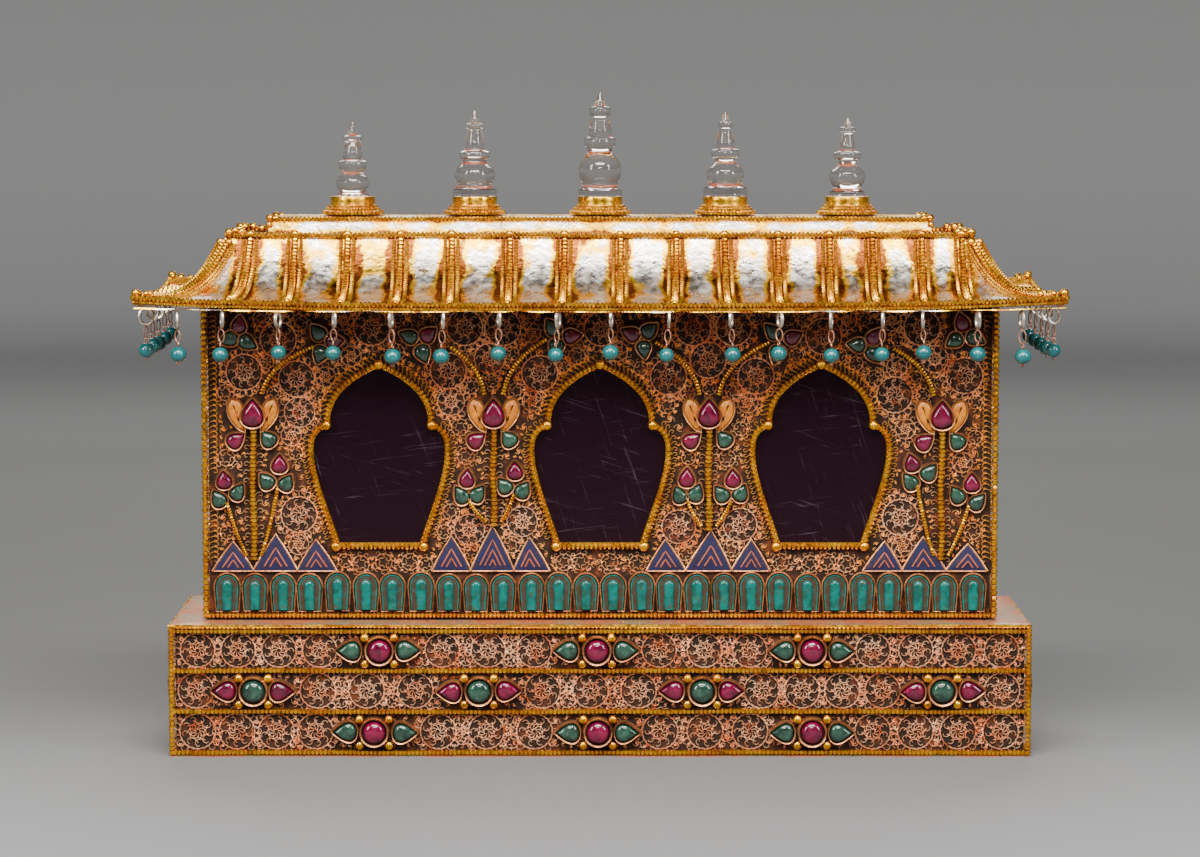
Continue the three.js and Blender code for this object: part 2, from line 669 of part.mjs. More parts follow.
function makeRidge() {
  const ring = (halfX, halfY, level) =>
    [...CORNERS].reverse().map(([x, y]) => new THREE.Vector3(x * halfX, y * halfY, level));
  const topX = RIDGE_WIDTH / 2 - RIDGE_TAPER;
  const topY = RIDGE_DEPTH / 2 - RIDGE_TAPER;
  const foot = ring(RIDGE_WIDTH / 2, RIDGE_DEPTH / 2, ridgeFoot);
  place('ridge', loft([foot, ring(topX, topY, ridgeTop)]), SILVER);
  const radius = RIDGE_WIRE / 2;
  const out = (RIDGE_TAPER * RIDGE_WIRE) / RIDGE_HEIGHT + GAP + radius;
  place('ridge_edging', rectangleWire(topX + out, topY + out, ridgeTop - radius, radius), GILT);
}

// A turned form from pairs of radius and level
function turned(profile, sides) {
  const points = profile.map(([radius, level]) => new THREE.Vector2(radius, level));
  return new THREE.LatheGeometry(points, sides).rotateX(Math.PI / 2);
}

function crystalProfile(height, foot, body) {
  return [
    [0, 0], [foot, 0], [foot, 0.065 * height], [0.78 * body, 0.09 * height], [body, 0.26 * height],
    [0.53 * body, 0.41 * height], [0.75 * body, 0.45 * height], [0.75 * body, 0.53 * height],
    [0.56 * body, 0.56 * height], [0.38 * body, 0.76 * height], [0.5 * body, 0.78 * height],
    [0.5 * body, 0.83 * height], [0.25 * body, 0.85 * height], [0, height],
  ];
}

function makeFinials() {
  const stepLevel = RING_FOOT_HEIGHT + RING_STEP_HEIGHT;
  const baseHeight = stepLevel + COLLAR_HEIGHT;
  const base = turned([
    [0, 0], [RING_FOOT_RADIUS, 0], [RING_FOOT_RADIUS, RING_FOOT_HEIGHT],
    [RING_STEP_RADIUS, RING_FOOT_HEIGHT], [RING_STEP_RADIUS, stepLevel],
    [COLLAR_RADIUS, stepLevel], [COLLAR_RADIUS, baseHeight], [0, baseHeight],
  ], 9);
  FINIALS.forEach(({ along, height, foot, body }, index) => {
    const x = along * RIDGE_WIDTH;
    const level = ridgeTop + GAP;
    place(`finial_base_${index + 1}`, base, GILT, [x, 0, level]);
    const crystal = turned(crystalProfile(
      height * CRYSTAL_HEIGHT, foot * COLLAR_RADIUS, body * CRYSTAL_RADIUS), 8);
    place(`crystal_${index + 1}`, crystal, CRYSTAL, [x, 0, level + baseHeight + GAP]);
  });
}

altarBox.name = 'altar_box';
makePlinth();
makeGems();
makeCabinet();
makeCabinetEdging();
makePetals();
makeMountains();
makeTrees();
makeRoof();
makeRoofWirework();
makePendants();
makeRidge();
makeFinials();

export default altarBox;
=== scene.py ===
import math

import bpy
import numpy as np
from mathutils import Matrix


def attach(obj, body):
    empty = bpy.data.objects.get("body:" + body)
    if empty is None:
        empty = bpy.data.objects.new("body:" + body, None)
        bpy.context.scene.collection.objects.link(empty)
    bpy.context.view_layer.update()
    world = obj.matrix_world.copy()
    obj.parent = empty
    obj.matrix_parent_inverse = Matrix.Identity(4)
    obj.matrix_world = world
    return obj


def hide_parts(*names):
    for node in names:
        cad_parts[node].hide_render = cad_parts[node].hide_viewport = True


# A gilt altar box set with stones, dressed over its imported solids.
# Shapes are worked out in millimetres, with Z up and the front towards -Y, and written in metres.

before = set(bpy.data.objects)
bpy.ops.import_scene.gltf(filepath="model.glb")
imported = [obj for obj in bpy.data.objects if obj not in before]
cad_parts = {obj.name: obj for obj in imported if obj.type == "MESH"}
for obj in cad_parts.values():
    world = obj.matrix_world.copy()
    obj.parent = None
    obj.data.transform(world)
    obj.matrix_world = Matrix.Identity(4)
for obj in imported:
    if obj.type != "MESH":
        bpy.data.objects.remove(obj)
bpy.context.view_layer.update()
rng = np.random.default_rng(7)

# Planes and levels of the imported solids, in millimetres
PLINTH_X, PLINTH_Y = 152.4, 35.4
WALL_X, WALL_Y, WALL_TOP = 140.9, 23.4, 161.6
EAVE_X, EAVE_Y, EAVE_TOP = 162.5, 57.2, 163.7
CREST_X, CREST_Y, CREST_RISE = 133.0, 22.5, 22.3
RIDGE_X, RIDGE_Y = 120.0, 13.5
SIDES = ("front", "back", "left", "right")
CORNERS = [(x, y) for x in (-1, 1) for y in (-1, 1)]


# Points and faces

class Shape:
    """Points in millimetres, faces of three or four corners, and a value at each point for wear and painted
    shade.
    """

    def __init__(self):
        self.points, self.faces, self.wear, self.count = [], [], [], 0

    def add(self, points, faces, wear=0.0):
        points = np.asarray(points, float).reshape(-1, 3)
        self.points.append(points)
        self.faces += [np.asarray(f, int) + self.count for f in faces if len(f)]
        self.wear.append(np.broadcast_to(np.asarray(wear, float), len(points)))
        self.count += len(points)

    def take(self, other, move):
        """Adds another shape, with its points passed through move."""
        self.add(move(np.concatenate(other.points)), other.faces, np.concatenate(other.wear))


def piece(name, shape, material, replaces=(), angle=40):
    points = np.concatenate(shape.points) * 0.001
    corners = np.concatenate([f.ravel() for f in shape.faces])
    sizes = np.concatenate([np.full(len(f), f.shape[1]) for f in shape.faces])
    mesh = bpy.data.meshes.new(name)
    mesh.vertices.add(len(points))
    mesh.vertices.foreach_set("co", points.ravel())
    mesh.loops.add(len(corners))
    mesh.loops.foreach_set("vertex_index", corners)
    mesh.polygons.add(len(sizes))
    mesh.polygons.foreach_set("loop_start", np.concatenate([[0], np.cumsum(sizes)[:-1]]))
    mesh.update(calc_edges=True)
    mesh.validate()
    mesh.polygons.foreach_set("use_smooth", np.ones(len(mesh.polygons), bool))
    mesh.set_sharp_from_angle(angle=math.radians(angle))
    # This attribute marks real wear and gilding, and also grooves and crevices that the materials darken as
    # painted shade.
    mesh.attributes.new("wear", "FLOAT", "POINT").data.foreach_set("value", np.concatenate(shape.wear))
    mesh.materials.append(material)
    made = bpy.data.objects.new(name, mesh)
    bpy.context.scene.collection.objects.link(made)
    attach(made, "root")
    if replaces:
        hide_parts(*replaces)
    return made


def grid_faces(rows, columns, wrap=False, flip=False):
    """Quads over rows of points, each row closed if wrap is set."""
    i, k = np.meshgrid(np.arange(rows - 1), np.arange(columns if wrap else columns - 1), indexing="ij")
    i, k = i.ravel(), k.ravel()
    after = (k + 1) % columns
    quads = np.stack([i * columns + k, i * columns + after, (i + 1) * columns + after,
                      (i + 1) * columns + k], 1)
    return quads[:, ::-1] if flip else quads


def fan(ring, centre, flip=False):
    """Triangles from a closed ring of corner numbers to one corner."""
    ring = np.asarray(ring)
    triangles = np.stack([ring, np.roll(ring, -1), np.full(len(ring), centre)], 1)
    return triangles[:, ::-1] if flip else triangles


def stacked(shape, rings, wear=0.0, cap_foot=False, cap_top=True):
    """A skin over rings of points, each anticlockwise seen from where the rings run to.

    The value for wear and painted shade is one value, one for each ring or one for each point."""
    rings, wear = np.asarray(rings, float), np.asarray(wear, float)
    rows, columns = rings.shape[:2]
    points = rings.reshape(-1, 3)
    wear = wear.ravel() if wear.ndim == 2 else np.repeat(np.broadcast_to(wear, rows), columns)
    faces = [grid_faces(rows, columns, wrap=True)]
    if cap_top:
        faces.append(fan(np.arange((rows - 1) * columns, rows * columns), len(points)))
        points = np.vstack([points, rings[-1].mean(0)])
        wear = np.append(wear, wear[-1])
    if cap_foot:
        faces.append(fan(np.arange(columns), len(points), flip=True))
        points = np.vstack([points, rings[0].mean(0)])
        wear = np.append(wear, wear[0])
    shape.add(points, faces, wear)


def unit(vectors):
    return vectors / np.maximum(np.linalg.norm(vectors, axis=-1, keepdims=True), 1e-12)


def along(path, places, closed=False):
    """Points at the given lengths along a path."""
    path = np.asarray(path, float)
    if closed:
        path = np.vstack([path, path[:1]])
    lengths = np.append(0, np.cumsum(np.linalg.norm(np.diff(path, axis=0), axis=1)))
    return np.stack([np.interp(places, lengths, path[:, axis]) for axis in range(path.shape[1])], 1)


def length_of(path, closed=False):
    path = np.asarray(path, float)
    if closed:
        path = np.vstack([path, path[:1]])
    return np.linalg.norm(np.diff(path, axis=0), axis=1).sum()


def sweep(shape, path, radius, sides, normal, closed=False, wear=0.0):
    """A tube along a path. The normal is the way that its upper side faces."""
    path = np.asarray(path, float)
    count = len(path)
    tangent = np.roll(path, -1, 0) - np.roll(path, 1, 0) if closed else np.gradient(path, axis=0)
    tangent = unit(tangent)
    across = unit(np.cross(tangent, np.broadcast_to(np.asarray(normal, float), path.shape)))
    up = np.cross(across, tangent)
    angles = (np.arange(sides) + 0.5) * 2 * np.pi / sides
    radius = np.broadcast_to(np.asarray(radius, float), count)
    ring = across[:, None] * np.cos(angles)[:, None] + up[:, None] * np.sin(angles)[:, None]
    points = (path[:, None] + radius[:, None, None] * ring).reshape(-1, 3)
    wear = np.repeat(np.broadcast_to(np.asarray(wear, float), count), sides)
    if closed:
        faces = [grid_faces(count + 1, sides, wrap=True, flip=True) % (count * sides)]
    else:
        faces = [grid_faces(count, sides, wrap=True, flip=True),
                 fan(np.arange(sides), count * sides),
                 fan(np.arange((count - 1) * sides, count * sides), count * sides + 1, flip=True)]
        points = np.vstack([points, path[0], path[-1]])
        wear = np.append(wear, [wear[0], wear[-1]])
    shape.add(points, faces, wear)


def beaded(shape, path, pitch, diameter, sides, normal=(0, -1, 0), closed=False, fine=True):
    """A wire of small flattened beads along a path. Its wear and shade value is 1 in the grooves between the
    beads, where the gilt is darkened with painted shade.
    """
    waist = 0.5
    total = length_of(path, closed)
    beads = max(2, round(total / pitch))
    shares, radii, wear = ([0, 0.28, 0.72], [waist, 1, 1], [1, 0, 0]) if fine else (
        [0, 0.5], [waist, 1.04], [1, 0])
    places = (np.arange(beads)[:, None] + np.array(shares)).ravel() * total / beads
    size = np.repeat(1 + rng.normal(0, 0.03, beads), len(shares))
    radii = np.tile(radii, beads) * size * diameter / 2
    wear = np.tile(wear, beads)
    if not closed:
        places = np.append(places, total)
        radii = np.append(radii, waist * diameter / 2)
        wear = np.append(wear, 1)
    sweep(shape, along(path, places, closed), radii, sides, normal, closed, wear)


def turned(shape, profile, centre, sides, wear=0.0):
    """A form turned about an upright axis, from pairs of radius and level going up."""
    angles = np.arange(sides) * 2 * np.pi / sides
    profile = np.asarray(profile, float)
    rings = np.stack([profile[:, :1] * np.cos(angles), profile[:, :1] * np.sin(angles),
                      np.broadcast_to(profile[:, 1:], (len(profile), sides))], 2) + np.asarray(centre)
    stacked(shape, rings, wear, cap_foot=True)


def ball_levels(sides):
    return np.linspace(-0.5, 0.5, sides // 2 + 1)[1:-1] * np.pi


def ball(shape, centre, radius, sides, squash):
    levels = ball_levels(sides)
    turned(shape, np.stack([radius * np.cos(levels), radius * squash * np.sin(levels)], 1), centre, sides)


# The walls: a point across, up and out from a wall, in the frame of the whole object

def on_wall(side, reach_x, reach_y):
    def move(points):
        across, up, out = points[:, 0], points[:, 1], points[:, 2]
        if side == "front":
            return np.stack([across, -reach_y - out, up], 1)
        if side == "back":
            return np.stack([-across, reach_y + out, up], 1)
        if side == "right":
            return np.stack([reach_x + out, across, up], 1)
        return np.stack([-reach_x - out, -across, up], 1)
    return move


def plinth_wall(side):
    return on_wall(side, PLINTH_X, PLINTH_Y)


def cabinet_wall(side):
    return on_wall(side, WALL_X, WALL_Y)


def flat_path(points, out):
    """Points across and up a wall, all at one distance out from it."""
    points = np.asarray(points, float)
    return np.column_stack([points, np.broadcast_to(out, len(points))])


def dress(wall, prefix, parts, angle=40):
    """Pieces on a wall, each from its kind, shape, material, slot and the nodes that it stands for."""
    for kind, shape, surface, slot, *nodes in parts:
        made = Shape()
        made.take(shape, wall)
        piece(f"{prefix}_{kind}", made, surface, nodes, angle)


# Outlines across and up a wall, anticlockwise, with the point of a drop towards +X

def disc(radius, sides):
    angles = np.arange(sides) * 2 * np.pi / sides
    return np.stack([radius * np.cos(angles), radius * np.sin(angles)], 1)


def pear(length, width, sides, taper=1.25):
    angles = np.arange(sides) * 2 * np.pi / sides
    half = np.sin(angles) * np.abs(np.sin(angles / 2)) ** taper
    return np.stack([np.cos(angles) * length / 2, half * width / 2 / np.abs(half).max()], 1)


def turn(points, angle):
    c, s = math.cos(angle), math.sin(angle)
    return np.asarray(points) @ np.array([[c, s], [-s, c]])


def grown(outline, by):
    """An outline moved outwards by a distance."""
    before, after = np.roll(outline, 1, 0), np.roll(outline, -1, 0)
    tangent = unit(after - before)
    return outline + by * np.stack([tangent[:, 1], -tangent[:, 0]], 1)


def wall_ball(shape, centre, radius, out, sides):
    """A small flattened ball on a wall."""
    stacked(shape, [flat_path(disc(radius * math.cos(a), sides) + centre, out + 1.6 * math.sin(a))
                    for a in ball_levels(sides)], cap_foot=True)


def raise_rings(shape, outline, centre, levels, wear=0.0):
    """Rings of an outline about a centre, from triples of growth, share and distance out."""
    rings = [flat_path(grown(outline, grow) * share + np.asarray(centre), out) for grow, share, out in levels]
    stacked(shape, rings, wear)


def stone(shape, outline, centre, base, rise):
    """A polished cabochon."""
    shares = [(1, 0), (0.985, 0.3), (0.93, 0.58), (0.8, 0.82), (0.55, 0.95), (0.26, 1)]
    raise_rings(shape, outline, centre, [(0, s, base + rise * h) for s, h in shares])


def bezel(shape, outline, centre, gap, wall, height):
    """A thin wall round a stone, open in the middle, with a floor behind the stone."""
    levels = [(gap + wall * 1.5, 1, 0.0), (gap + wall, 1, height * 0.5), (gap + wall, 1, height * 0.9),
              (gap + wall * 0.6, 1, height), (gap, 1, height * 0.93), (gap * 0.4, 1, height * 0.25)]
    # The bezel's foot and its floor beside the stone get high values, darkened as painted shade.
    raise_rings(shape, outline, centre, levels, [0.6, 0.5, 0.1, 0.0, 0.5, 1.0])


# Materials

def material(name, metallic, roughness):
    made = bpy.data.materials.new(name)
    made.use_nodes = True
    shader = made.node_tree.nodes["Principled BSDF"]
    shader.inputs["Metallic"].default_value = metallic
    shader.inputs["Roughness"].default_value = roughness
    return made, made.node_tree, shader


def noise(tree, scale, detail, roughness=0.55, stretch=None, distortion=0.0):
    place = tree.nodes.new("ShaderNodeTexCoord").outputs["Object"]
    if stretch is not None:
        mapping = tree.nodes.new("ShaderNodeMapping")
        mapping.vector_type = "TEXTURE"
        mapping.inputs["Scale"].default_value = [1 / size for size in stretch[0]]
        mapping.inputs["Rotation"].default_value = stretch[1]
        tree.links.new(place, mapping.inputs["Vector"])
        place = mapping.outputs["Vector"]
    node = tree.nodes.new("ShaderNodeTexNoise")
    node.inputs["Scale"].default_value = scale
    node.inputs["Detail"].default_value = detail
    node.inputs["Roughness"].default_value = roughness
    node.inputs["Distortion"].default_value = distortion
    tree.links.new(place, node.inputs["Vector"])
    return node.outputs["Fac"]


def wear_value(tree):
    node = tree.nodes.new("ShaderNodeAttribute")
    node.attribute_name = "wear"
    return node.outputs["Fac"]


def ramp(tree, value, stops):
    node = tree.nodes.new("ShaderNodeValToRGB")
    while len(node.color_ramp.elements) < len(stops):
        node.color_ramp.elements.new(0.5)
    for element, (place, colour) in zip(node.color_ramp.elements, stops):
        element.position = place
        element.color = (*colour, 1)
    tree.links.new(value, node.inputs["Fac"])
    return node.outputs["Color"]


def level(tree, value, low, high, start=0.0, end=1.0):
    """A value stretched from the span low to high to the span start to end."""
    node = tree.nodes.new("ShaderNodeMapRange")
    for name, number in (("From Min", low), ("From Max", high), ("To Min", start), ("To Max", end)):
        node.inputs[name].default_value = number
    tree.links.new(value, node.inputs["Value"])
    return node.outputs["Result"]


def blend(tree, share, first, second):
    """A colour between two, each a colour or a socket."""
    node = tree.nodes.new("ShaderNodeMix")
    node.data_type = "RGBA"
    for name, value in (("Factor", share), ("A", first), ("B", second)):
        socket = next(s for s in node.inputs if s.name == name and s.enabled)
        if isinstance(value, tuple):
            socket.default_value = (*value, 1)
        else:
            tree.links.new(value, socket)
    return next(s for s in node.outputs if s.enabled)


def maths(tree, operation, first, second):
    node = tree.nodes.new("ShaderNodeMath")
    node.operation = operation
    node.use_clamp = True
    tree.links.new(first, node.inputs[0])
    tree.links.new(second, node.inputs[1])
    return node.outputs["Value"]


def bump(tree, shader, height, strength, distance):
    node = tree.nodes.new("ShaderNodeBump")
    node.inputs["Strength"].default_value = strength
    node.inputs["Distance"].default_value = distance
    tree.links.new(height, node.inputs["Height"])
    tree.links.new(node.outputs["Normal"], shader.inputs["Normal"])


def gilt_material(name, bright, deep, groove, roughness):
    """Worn gilding, darkened where the wear value is high: painted shade in the grooves and crevices, mixed
    with reddish pigment.
    """
    made, tree, shader = material(name, 1.0, roughness)
    gold = blend(tree, level(tree, noise(tree, 90, 5), 0.38, 0.62), bright, deep)
    patches = level(tree, noise(tree, 420, 4), 0.52, 0.66, 0, 0.55)
    gold = blend(tree, patches, gold, groove)
    # Painted shade: grooves and crevices go towards the dark groove colour and lose their metal sheen, with
    # reddish pigment mixed in.
    shade_and_dirt = maths(tree, "MULTIPLY", wear_value(tree), level(tree, noise(tree, 160, 3), 0.3, 0.6, 0.45, 1.0))
    tree.links.new(blend(tree, shade_and_dirt, gold, groove), shader.inputs["Base Color"])
    tree.links.new(level(tree, shade_and_dirt, 0, 1, 1.0, 0.35), shader.inputs["Metallic"])
    tree.links.new(level(tree, noise(tree, 700, 3), 0.3, 0.7, roughness - 0.08, roughness + 0.16),
                   shader.inputs["Roughness"])
    bump(tree, shader, noise(tree, 2600, 3), 0.12, 0.0002)
    return made


# The third colour of each is the painted shade of its grooves and crevices, also used for random dark
# patches.
GILT = gilt_material("gilt_wire", (0.86, 0.47, 0.015), (0.68, 0.27, 0.008), (0.09, 0.016, 0.004), 0.26)
GILT_PLATE = gilt_material("gilt_plate", (0.92, 0.55, 0.015), (0.78, 0.34, 0.01), (0.30, 0.07, 0.008), 0.24)
BEZEL = gilt_material("bezel_copper", (0.56, 0.26, 0.11), (0.35, 0.14, 0.06), (0.045, 0.015, 0.008), 0.36)


def filigree_material():
    """Filigree wire: copper and tan, gilded where the wear value is high."""
    made, tree, shader = material("filigree_wire", 0.8, 0.3)
    tan = blend(tree, level(tree, noise(tree, 60, 3), 0.4, 0.6), (0.97, 0.62, 0.40), (0.88, 0.42, 0.21))
    tan = blend(tree, level(tree, noise(tree, 300, 3), 0.5, 0.7, 0, 0.7), tan, (1.0, 0.78, 0.56))
    tan = blend(tree, level(tree, noise(tree, 230, 4, stretch=((1, 1, 1), (1, 2, 3))), 0.58, 0.68, 0, 0.75),
                tan, (0.62, 0.13, 0.03))
    gold = blend(tree, wear_value(tree), tan, (0.97, 0.50, 0.06))
    tree.links.new(gold, shader.inputs["Base Color"])
    bump(tree, shader, noise(tree, 2600, 3), 0.1, 0.0002)
    return made


FILIGREE = filigree_material()


def ground_material():
    """The dark sheet behind the filigree, reddish in places."""
    made, tree, shader = material("filigree_ground", 0.0, 0.8)
    shader.inputs["Specular IOR Level"].default_value = 0.12
    colour = ramp(tree, noise(tree, 240, 5), [(0.42, (0.016, 0.008, 0.005)), (0.56, (0.034, 0.013, 0.007)),
                                              (0.7, (0.11, 0.028, 0.009))])
    tree.links.new(colour, shader.inputs["Base Color"])
    bump(tree, shader, noise(tree, 900, 4), 0.3, 0.0004)
    return made


GROUND = ground_material()


def stone_material(name, main, other, vein, roughness, scale=260, vein_share=0.5, coat=0.4):
    made, tree, shader = material(name, 0.0, roughness)
    mixed = blend(tree, level(tree, noise(tree, scale, 5, distortion=0.8), 0.36, 0.62), main, other)
    lines = level(tree, noise(tree, scale * 1.7, 6, 0.65, distortion=1.5), 0.56, 0.66, 0, vein_share)
    mixed = blend(tree, lines, mixed, vein)
    tree.links.new(mixed, shader.inputs["Base Color"])
    tree.links.new(level(tree, noise(tree, scale * 3, 3), 0.4, 0.75, roughness, roughness + 0.2),
                   shader.inputs["Roughness"])
    shader.inputs["Coat Weight"].default_value = coat
    shader.inputs["Coat Roughness"].default_value = 0.06
    bump(tree, shader, noise(tree, scale * 4, 4), 0.06, 0.0003)
    return made


RUBY = stone_material("ruby_stone", (0.15, 0.0003, 0.026), (0.05, 0.0002, 0.011), (0.22, 0.004, 0.04), 0.1)
JADE = stone_material("jade_stone", (0.018, 0.062, 0.038), (0.005, 0.02, 0.013), (0.09, 0.14, 0.09), 0.1)
TURQUOISE = stone_material("turquoise_bead", (0.0, 0.125, 0.13), (0.0, 0.075, 0.08), (0.07, 0.03, 0.008),
                           0.2, 420, 0.7)
YELLOW = stone_material("yellow_petal", (0.62, 0.22, 0.0), (0.44, 0.11, 0.0), (0.25, 0.016, 0.0),
                        0.34, 330, 0.7, 0.1)


def grooved_material(name, main, other, groove, roughness, shine=0.5):
    """Stone darkened where the wear value is high: painted shade in its grooves and along its edges, mixed
    with pigment.
    """
    made, tree, shader = material(name, 0.0, roughness)
    shader.inputs["Specular IOR Level"].default_value = shine
    mixed = blend(tree, level(tree, noise(tree, 240, 5, distortion=1.0), 0.4, 0.62), main, other)
    specks = level(tree, noise(tree, 420, 6, 0.7, distortion=1.2), 0.57, 0.64, 0, 0.8)
    mixed = blend(tree, specks, mixed, groove)
    # Painted shade mixed with pigment: high values go towards the groove colour.
    shade_and_dirt = maths(tree, "MULTIPLY", wear_value(tree), level(tree, noise(tree, 500, 4), 0.3, 0.55, 0.5, 1.0))
    tree.links.new(blend(tree, shade_and_dirt, mixed, groove), shader.inputs["Base Color"])
    tree.links.new(level(tree, noise(tree, 800, 3), 0.35, 0.7, roughness - 0.1, roughness + 0.2),
                   shader.inputs["Roughness"])
    bump(tree, shader, noise(tree, 1500, 4), 0.15, 0.0003)
    return made


# The third colour of each is the pigment and painted shade of its grooves, also used for random specks.
PETAL = grooved_material("petal_stone", (0.0, 0.105, 0.088), (0.0, 0.055, 0.042), (0.06, 0.02, 0.007),
                         0.16, 0.4)
LAPIS = grooved_material("lapis_stone", (0.010, 0.010, 0.044), (0.013, 0.009, 0.026), (0.045, 0.02, 0.02),
                         0.55, 0.2)
INLAY = grooved_material("inlay_line", (0.40, 0.075, 0.018), (0.26, 0.055, 0.02), (0.13, 0.035, 0.02), 0.5)


def silver_material():
    """Hammered silver with small dark stains, gilded where the wear value is high and darkened with painted
    shade where it is highest, along the feet of the ribs, under the eave and at the foot of the ridge.
    """
    made, tree, shader = material("hammered_silver", 1.0, 0.3)
    silver = blend(tree, level(tree, noise(tree, 130, 6, 0.65), 0.42, 0.62), (0.90, 0.86, 0.80),
                   (0.62, 0.52, 0.43))
    specks = level(tree, noise(tree, 520, 5, 0.7), 0.56, 0.68, 0, 0.45)
    silver = blend(tree, specks, silver, (0.30, 0.20, 0.15))
    # Painted shade: where the value is highest the silver goes near black; a little lower it is gilded.
    edge = maths(tree, "ADD", wear_value(tree), level(tree, noise(tree, 95, 4), 0.36, 0.68, -0.28, 0.5))
    silver = blend(tree, level(tree, edge, 0.24, 0.46), silver, (0.90, 0.50, 0.02))
    silver = blend(tree, level(tree, edge, 0.6, 0.84, 0, 0.95), silver, (0.13, 0.022, 0.008))
    tree.links.new(silver, shader.inputs["Base Color"])
    tree.links.new(level(tree, noise(tree, 300, 4), 0.35, 0.7, 0.2, 0.48), shader.inputs["Roughness"])
    bump(tree, shader, noise(tree, 380, 5, 0.6), 0.35, 0.0012)
    return made


SILVER = silver_material()
RING_SILVER = gilt_material("ring_silver", (0.74, 0.69, 0.60), (0.50, 0.43, 0.35), (0.20, 0.10, 0.05), 0.3)
LINK_COPPER = gilt_material("link_copper", (0.55, 0.28, 0.17), (0.40, 0.17, 0.10), (0.16, 0.06, 0.035), 0.4)


def copper_material():
    """The plinth's top and edges: reddish copper with pigment and grey-green patches."""
    made, tree, shader = material("plinth_copper", 0.75, 0.45)
    colour = ramp(tree, noise(tree, 70, 5), [(0.36, (0.30, 0.26, 0.17)), (0.48, (0.50, 0.23, 0.13)),
                                             (0.6, (0.56, 0.17, 0.08))])
    colour = blend(tree, level(tree, noise(tree, 700, 4), 0.6, 0.66, 0, 0.8), colour, (0.16, 0.05, 0.03))
    tree.links.new(colour, shader.inputs["Base Color"])
    bump(tree, shader, noise(tree, 240, 4), 0.25, 0.0008)
    return made


COPPER = copper_material()


def glass(name, colour, roughness, transmission, ior):
    made, tree, shader = material(name, 0.0, roughness)
    shader.inputs["Base Color"].default_value = (*colour, 1)
    shader.inputs["Transmission Weight"].default_value = transmission
    shader.inputs["IOR"].default_value = ior
    return made, tree, shader


CRYSTAL, crystal_tree, crystal_shader = glass("rock_crystal", (1.0, 0.95, 0.915), 0.03, 1.0, 1.5)
bump(crystal_tree, crystal_shader, noise(crystal_tree, 320, 3), 0.08, 0.0006)


def pane_material():
    """Dark tinted sheet with fine pale scratches."""
    made, tree, shader = glass("tinted_pane", (0.05, 0.015, 0.03), 0.1, 0.1, 1.4)
    shader.inputs["Specular IOR Level"].default_value = 0.17
    streaks = [noise(tree, 34, 9, 0.72, stretch=((1, 1, 26), (0, spin, 0))) for spin in (0.32, -0.12, 1.25)]
    fine = [level(tree, streak, 0.60, 0.70) for streak in streaks]
    fine = maths(tree, "ADD", maths(tree, "ADD", fine[0], fine[1]), fine[2])
    fine = maths(tree, "MULTIPLY", fine, level(tree, noise(tree, 45, 3), 0.42, 0.66, 0.06, 0.75))
    colour = blend(tree, fine, (0.008, 0.0012, 0.004), (0.10, 0.07, 0.095))
    tree.links.new(colour, shader.inputs["Base Color"])
    tree.links.new(level(tree, fine, 0, 0.6, 0.1, 0.5), shader.inputs["Roughness"])
    return made


PANE = pane_material()

# Camera at the photograph's viewing angle

camera = bpy.data.objects.new("camera", bpy.data.cameras.new("camera"))
bpy.context.scene.collection.objects.link(camera)
bpy.context.scene.camera = camera
camera.location = (0, -1.388, 0.2491)
camera.rotation_euler = (math.radians(90 - 5.52), 0, 0)
camera.data.sensor_width = 36
camera.data.lens = 114.2


# Layout helpers

def lumps(x, y, size, seed):
    """Smooth random values between -1 and 1 over a surface."""
    table = np.random.default_rng(seed).uniform(-1, 1, (128, 128))
    u, v = np.asarray(x) / size + 40, np.asarray(y) / size + 40
    i, k = np.floor(u).astype(int), np.floor(v).astype(int)
    s, t = u - i, v - k
    s, t = s * s * (3 - 2 * s), t * t * (3 - 2 * t)
    near = table[i % 128, k % 128] * (1 - s) + table[(i + 1) % 128, k % 128] * s
    far = table[i % 128, (k + 1) % 128] * (1 - s) + table[(i + 1) % 128, (k + 1) % 128] * s
    return near * (1 - t) + far * t


def lerp(a, b, share):
    return a + (b - a) * share


def rectangle(half_x, half_y, up, step, wave=0.0, seed=0):
    """A closed path round a rectangle, anticlockwise seen from above, a little wavy."""
    corners = np.array([[-1, -1], [1, -1], [1, 1], [-1, 1]]) * [half_x, half_y]
    total = length_of(corners, True)
    flat = along(corners, np.arange(step / 3, total, step), True)
    flat = np.vstack([flat, corners])
    order = np.argsort(np.arctan2(flat[:, 1] / half_y, flat[:, 0] / half_x))
    flat = flat[order]
    return np.column_stack([flat, up + wave * lumps(flat[:, 0], flat[:, 1], 24, seed)])


def bent(start, end, rise, lead, steps):
    """A curve that sets out upwards from its start and leans over to its end."""
    start, end = np.array(start, float), np.array(end, float)
    control = start + (end - start) * [lead, rise]
    t = np.linspace(0, 1, steps)[:, None]
    return (1 - t) ** 2 * start + 2 * t * (1 - t) * control + t * t * end


def bezier(points, steps):
    a, b, c, d = (np.array(p, float) for p in points)
    t = (np.arange(steps) + 1)[:, None] / steps
    return (1 - t) ** 3 * a + 3 * (1 - t) ** 2 * t * b + 3 * (1 - t) * t * t * c + t ** 3 * d


# Windows

WINDOWS = {"left": -79.5, "centre": 0.0, "right": 79.5}
SILL = 75.5


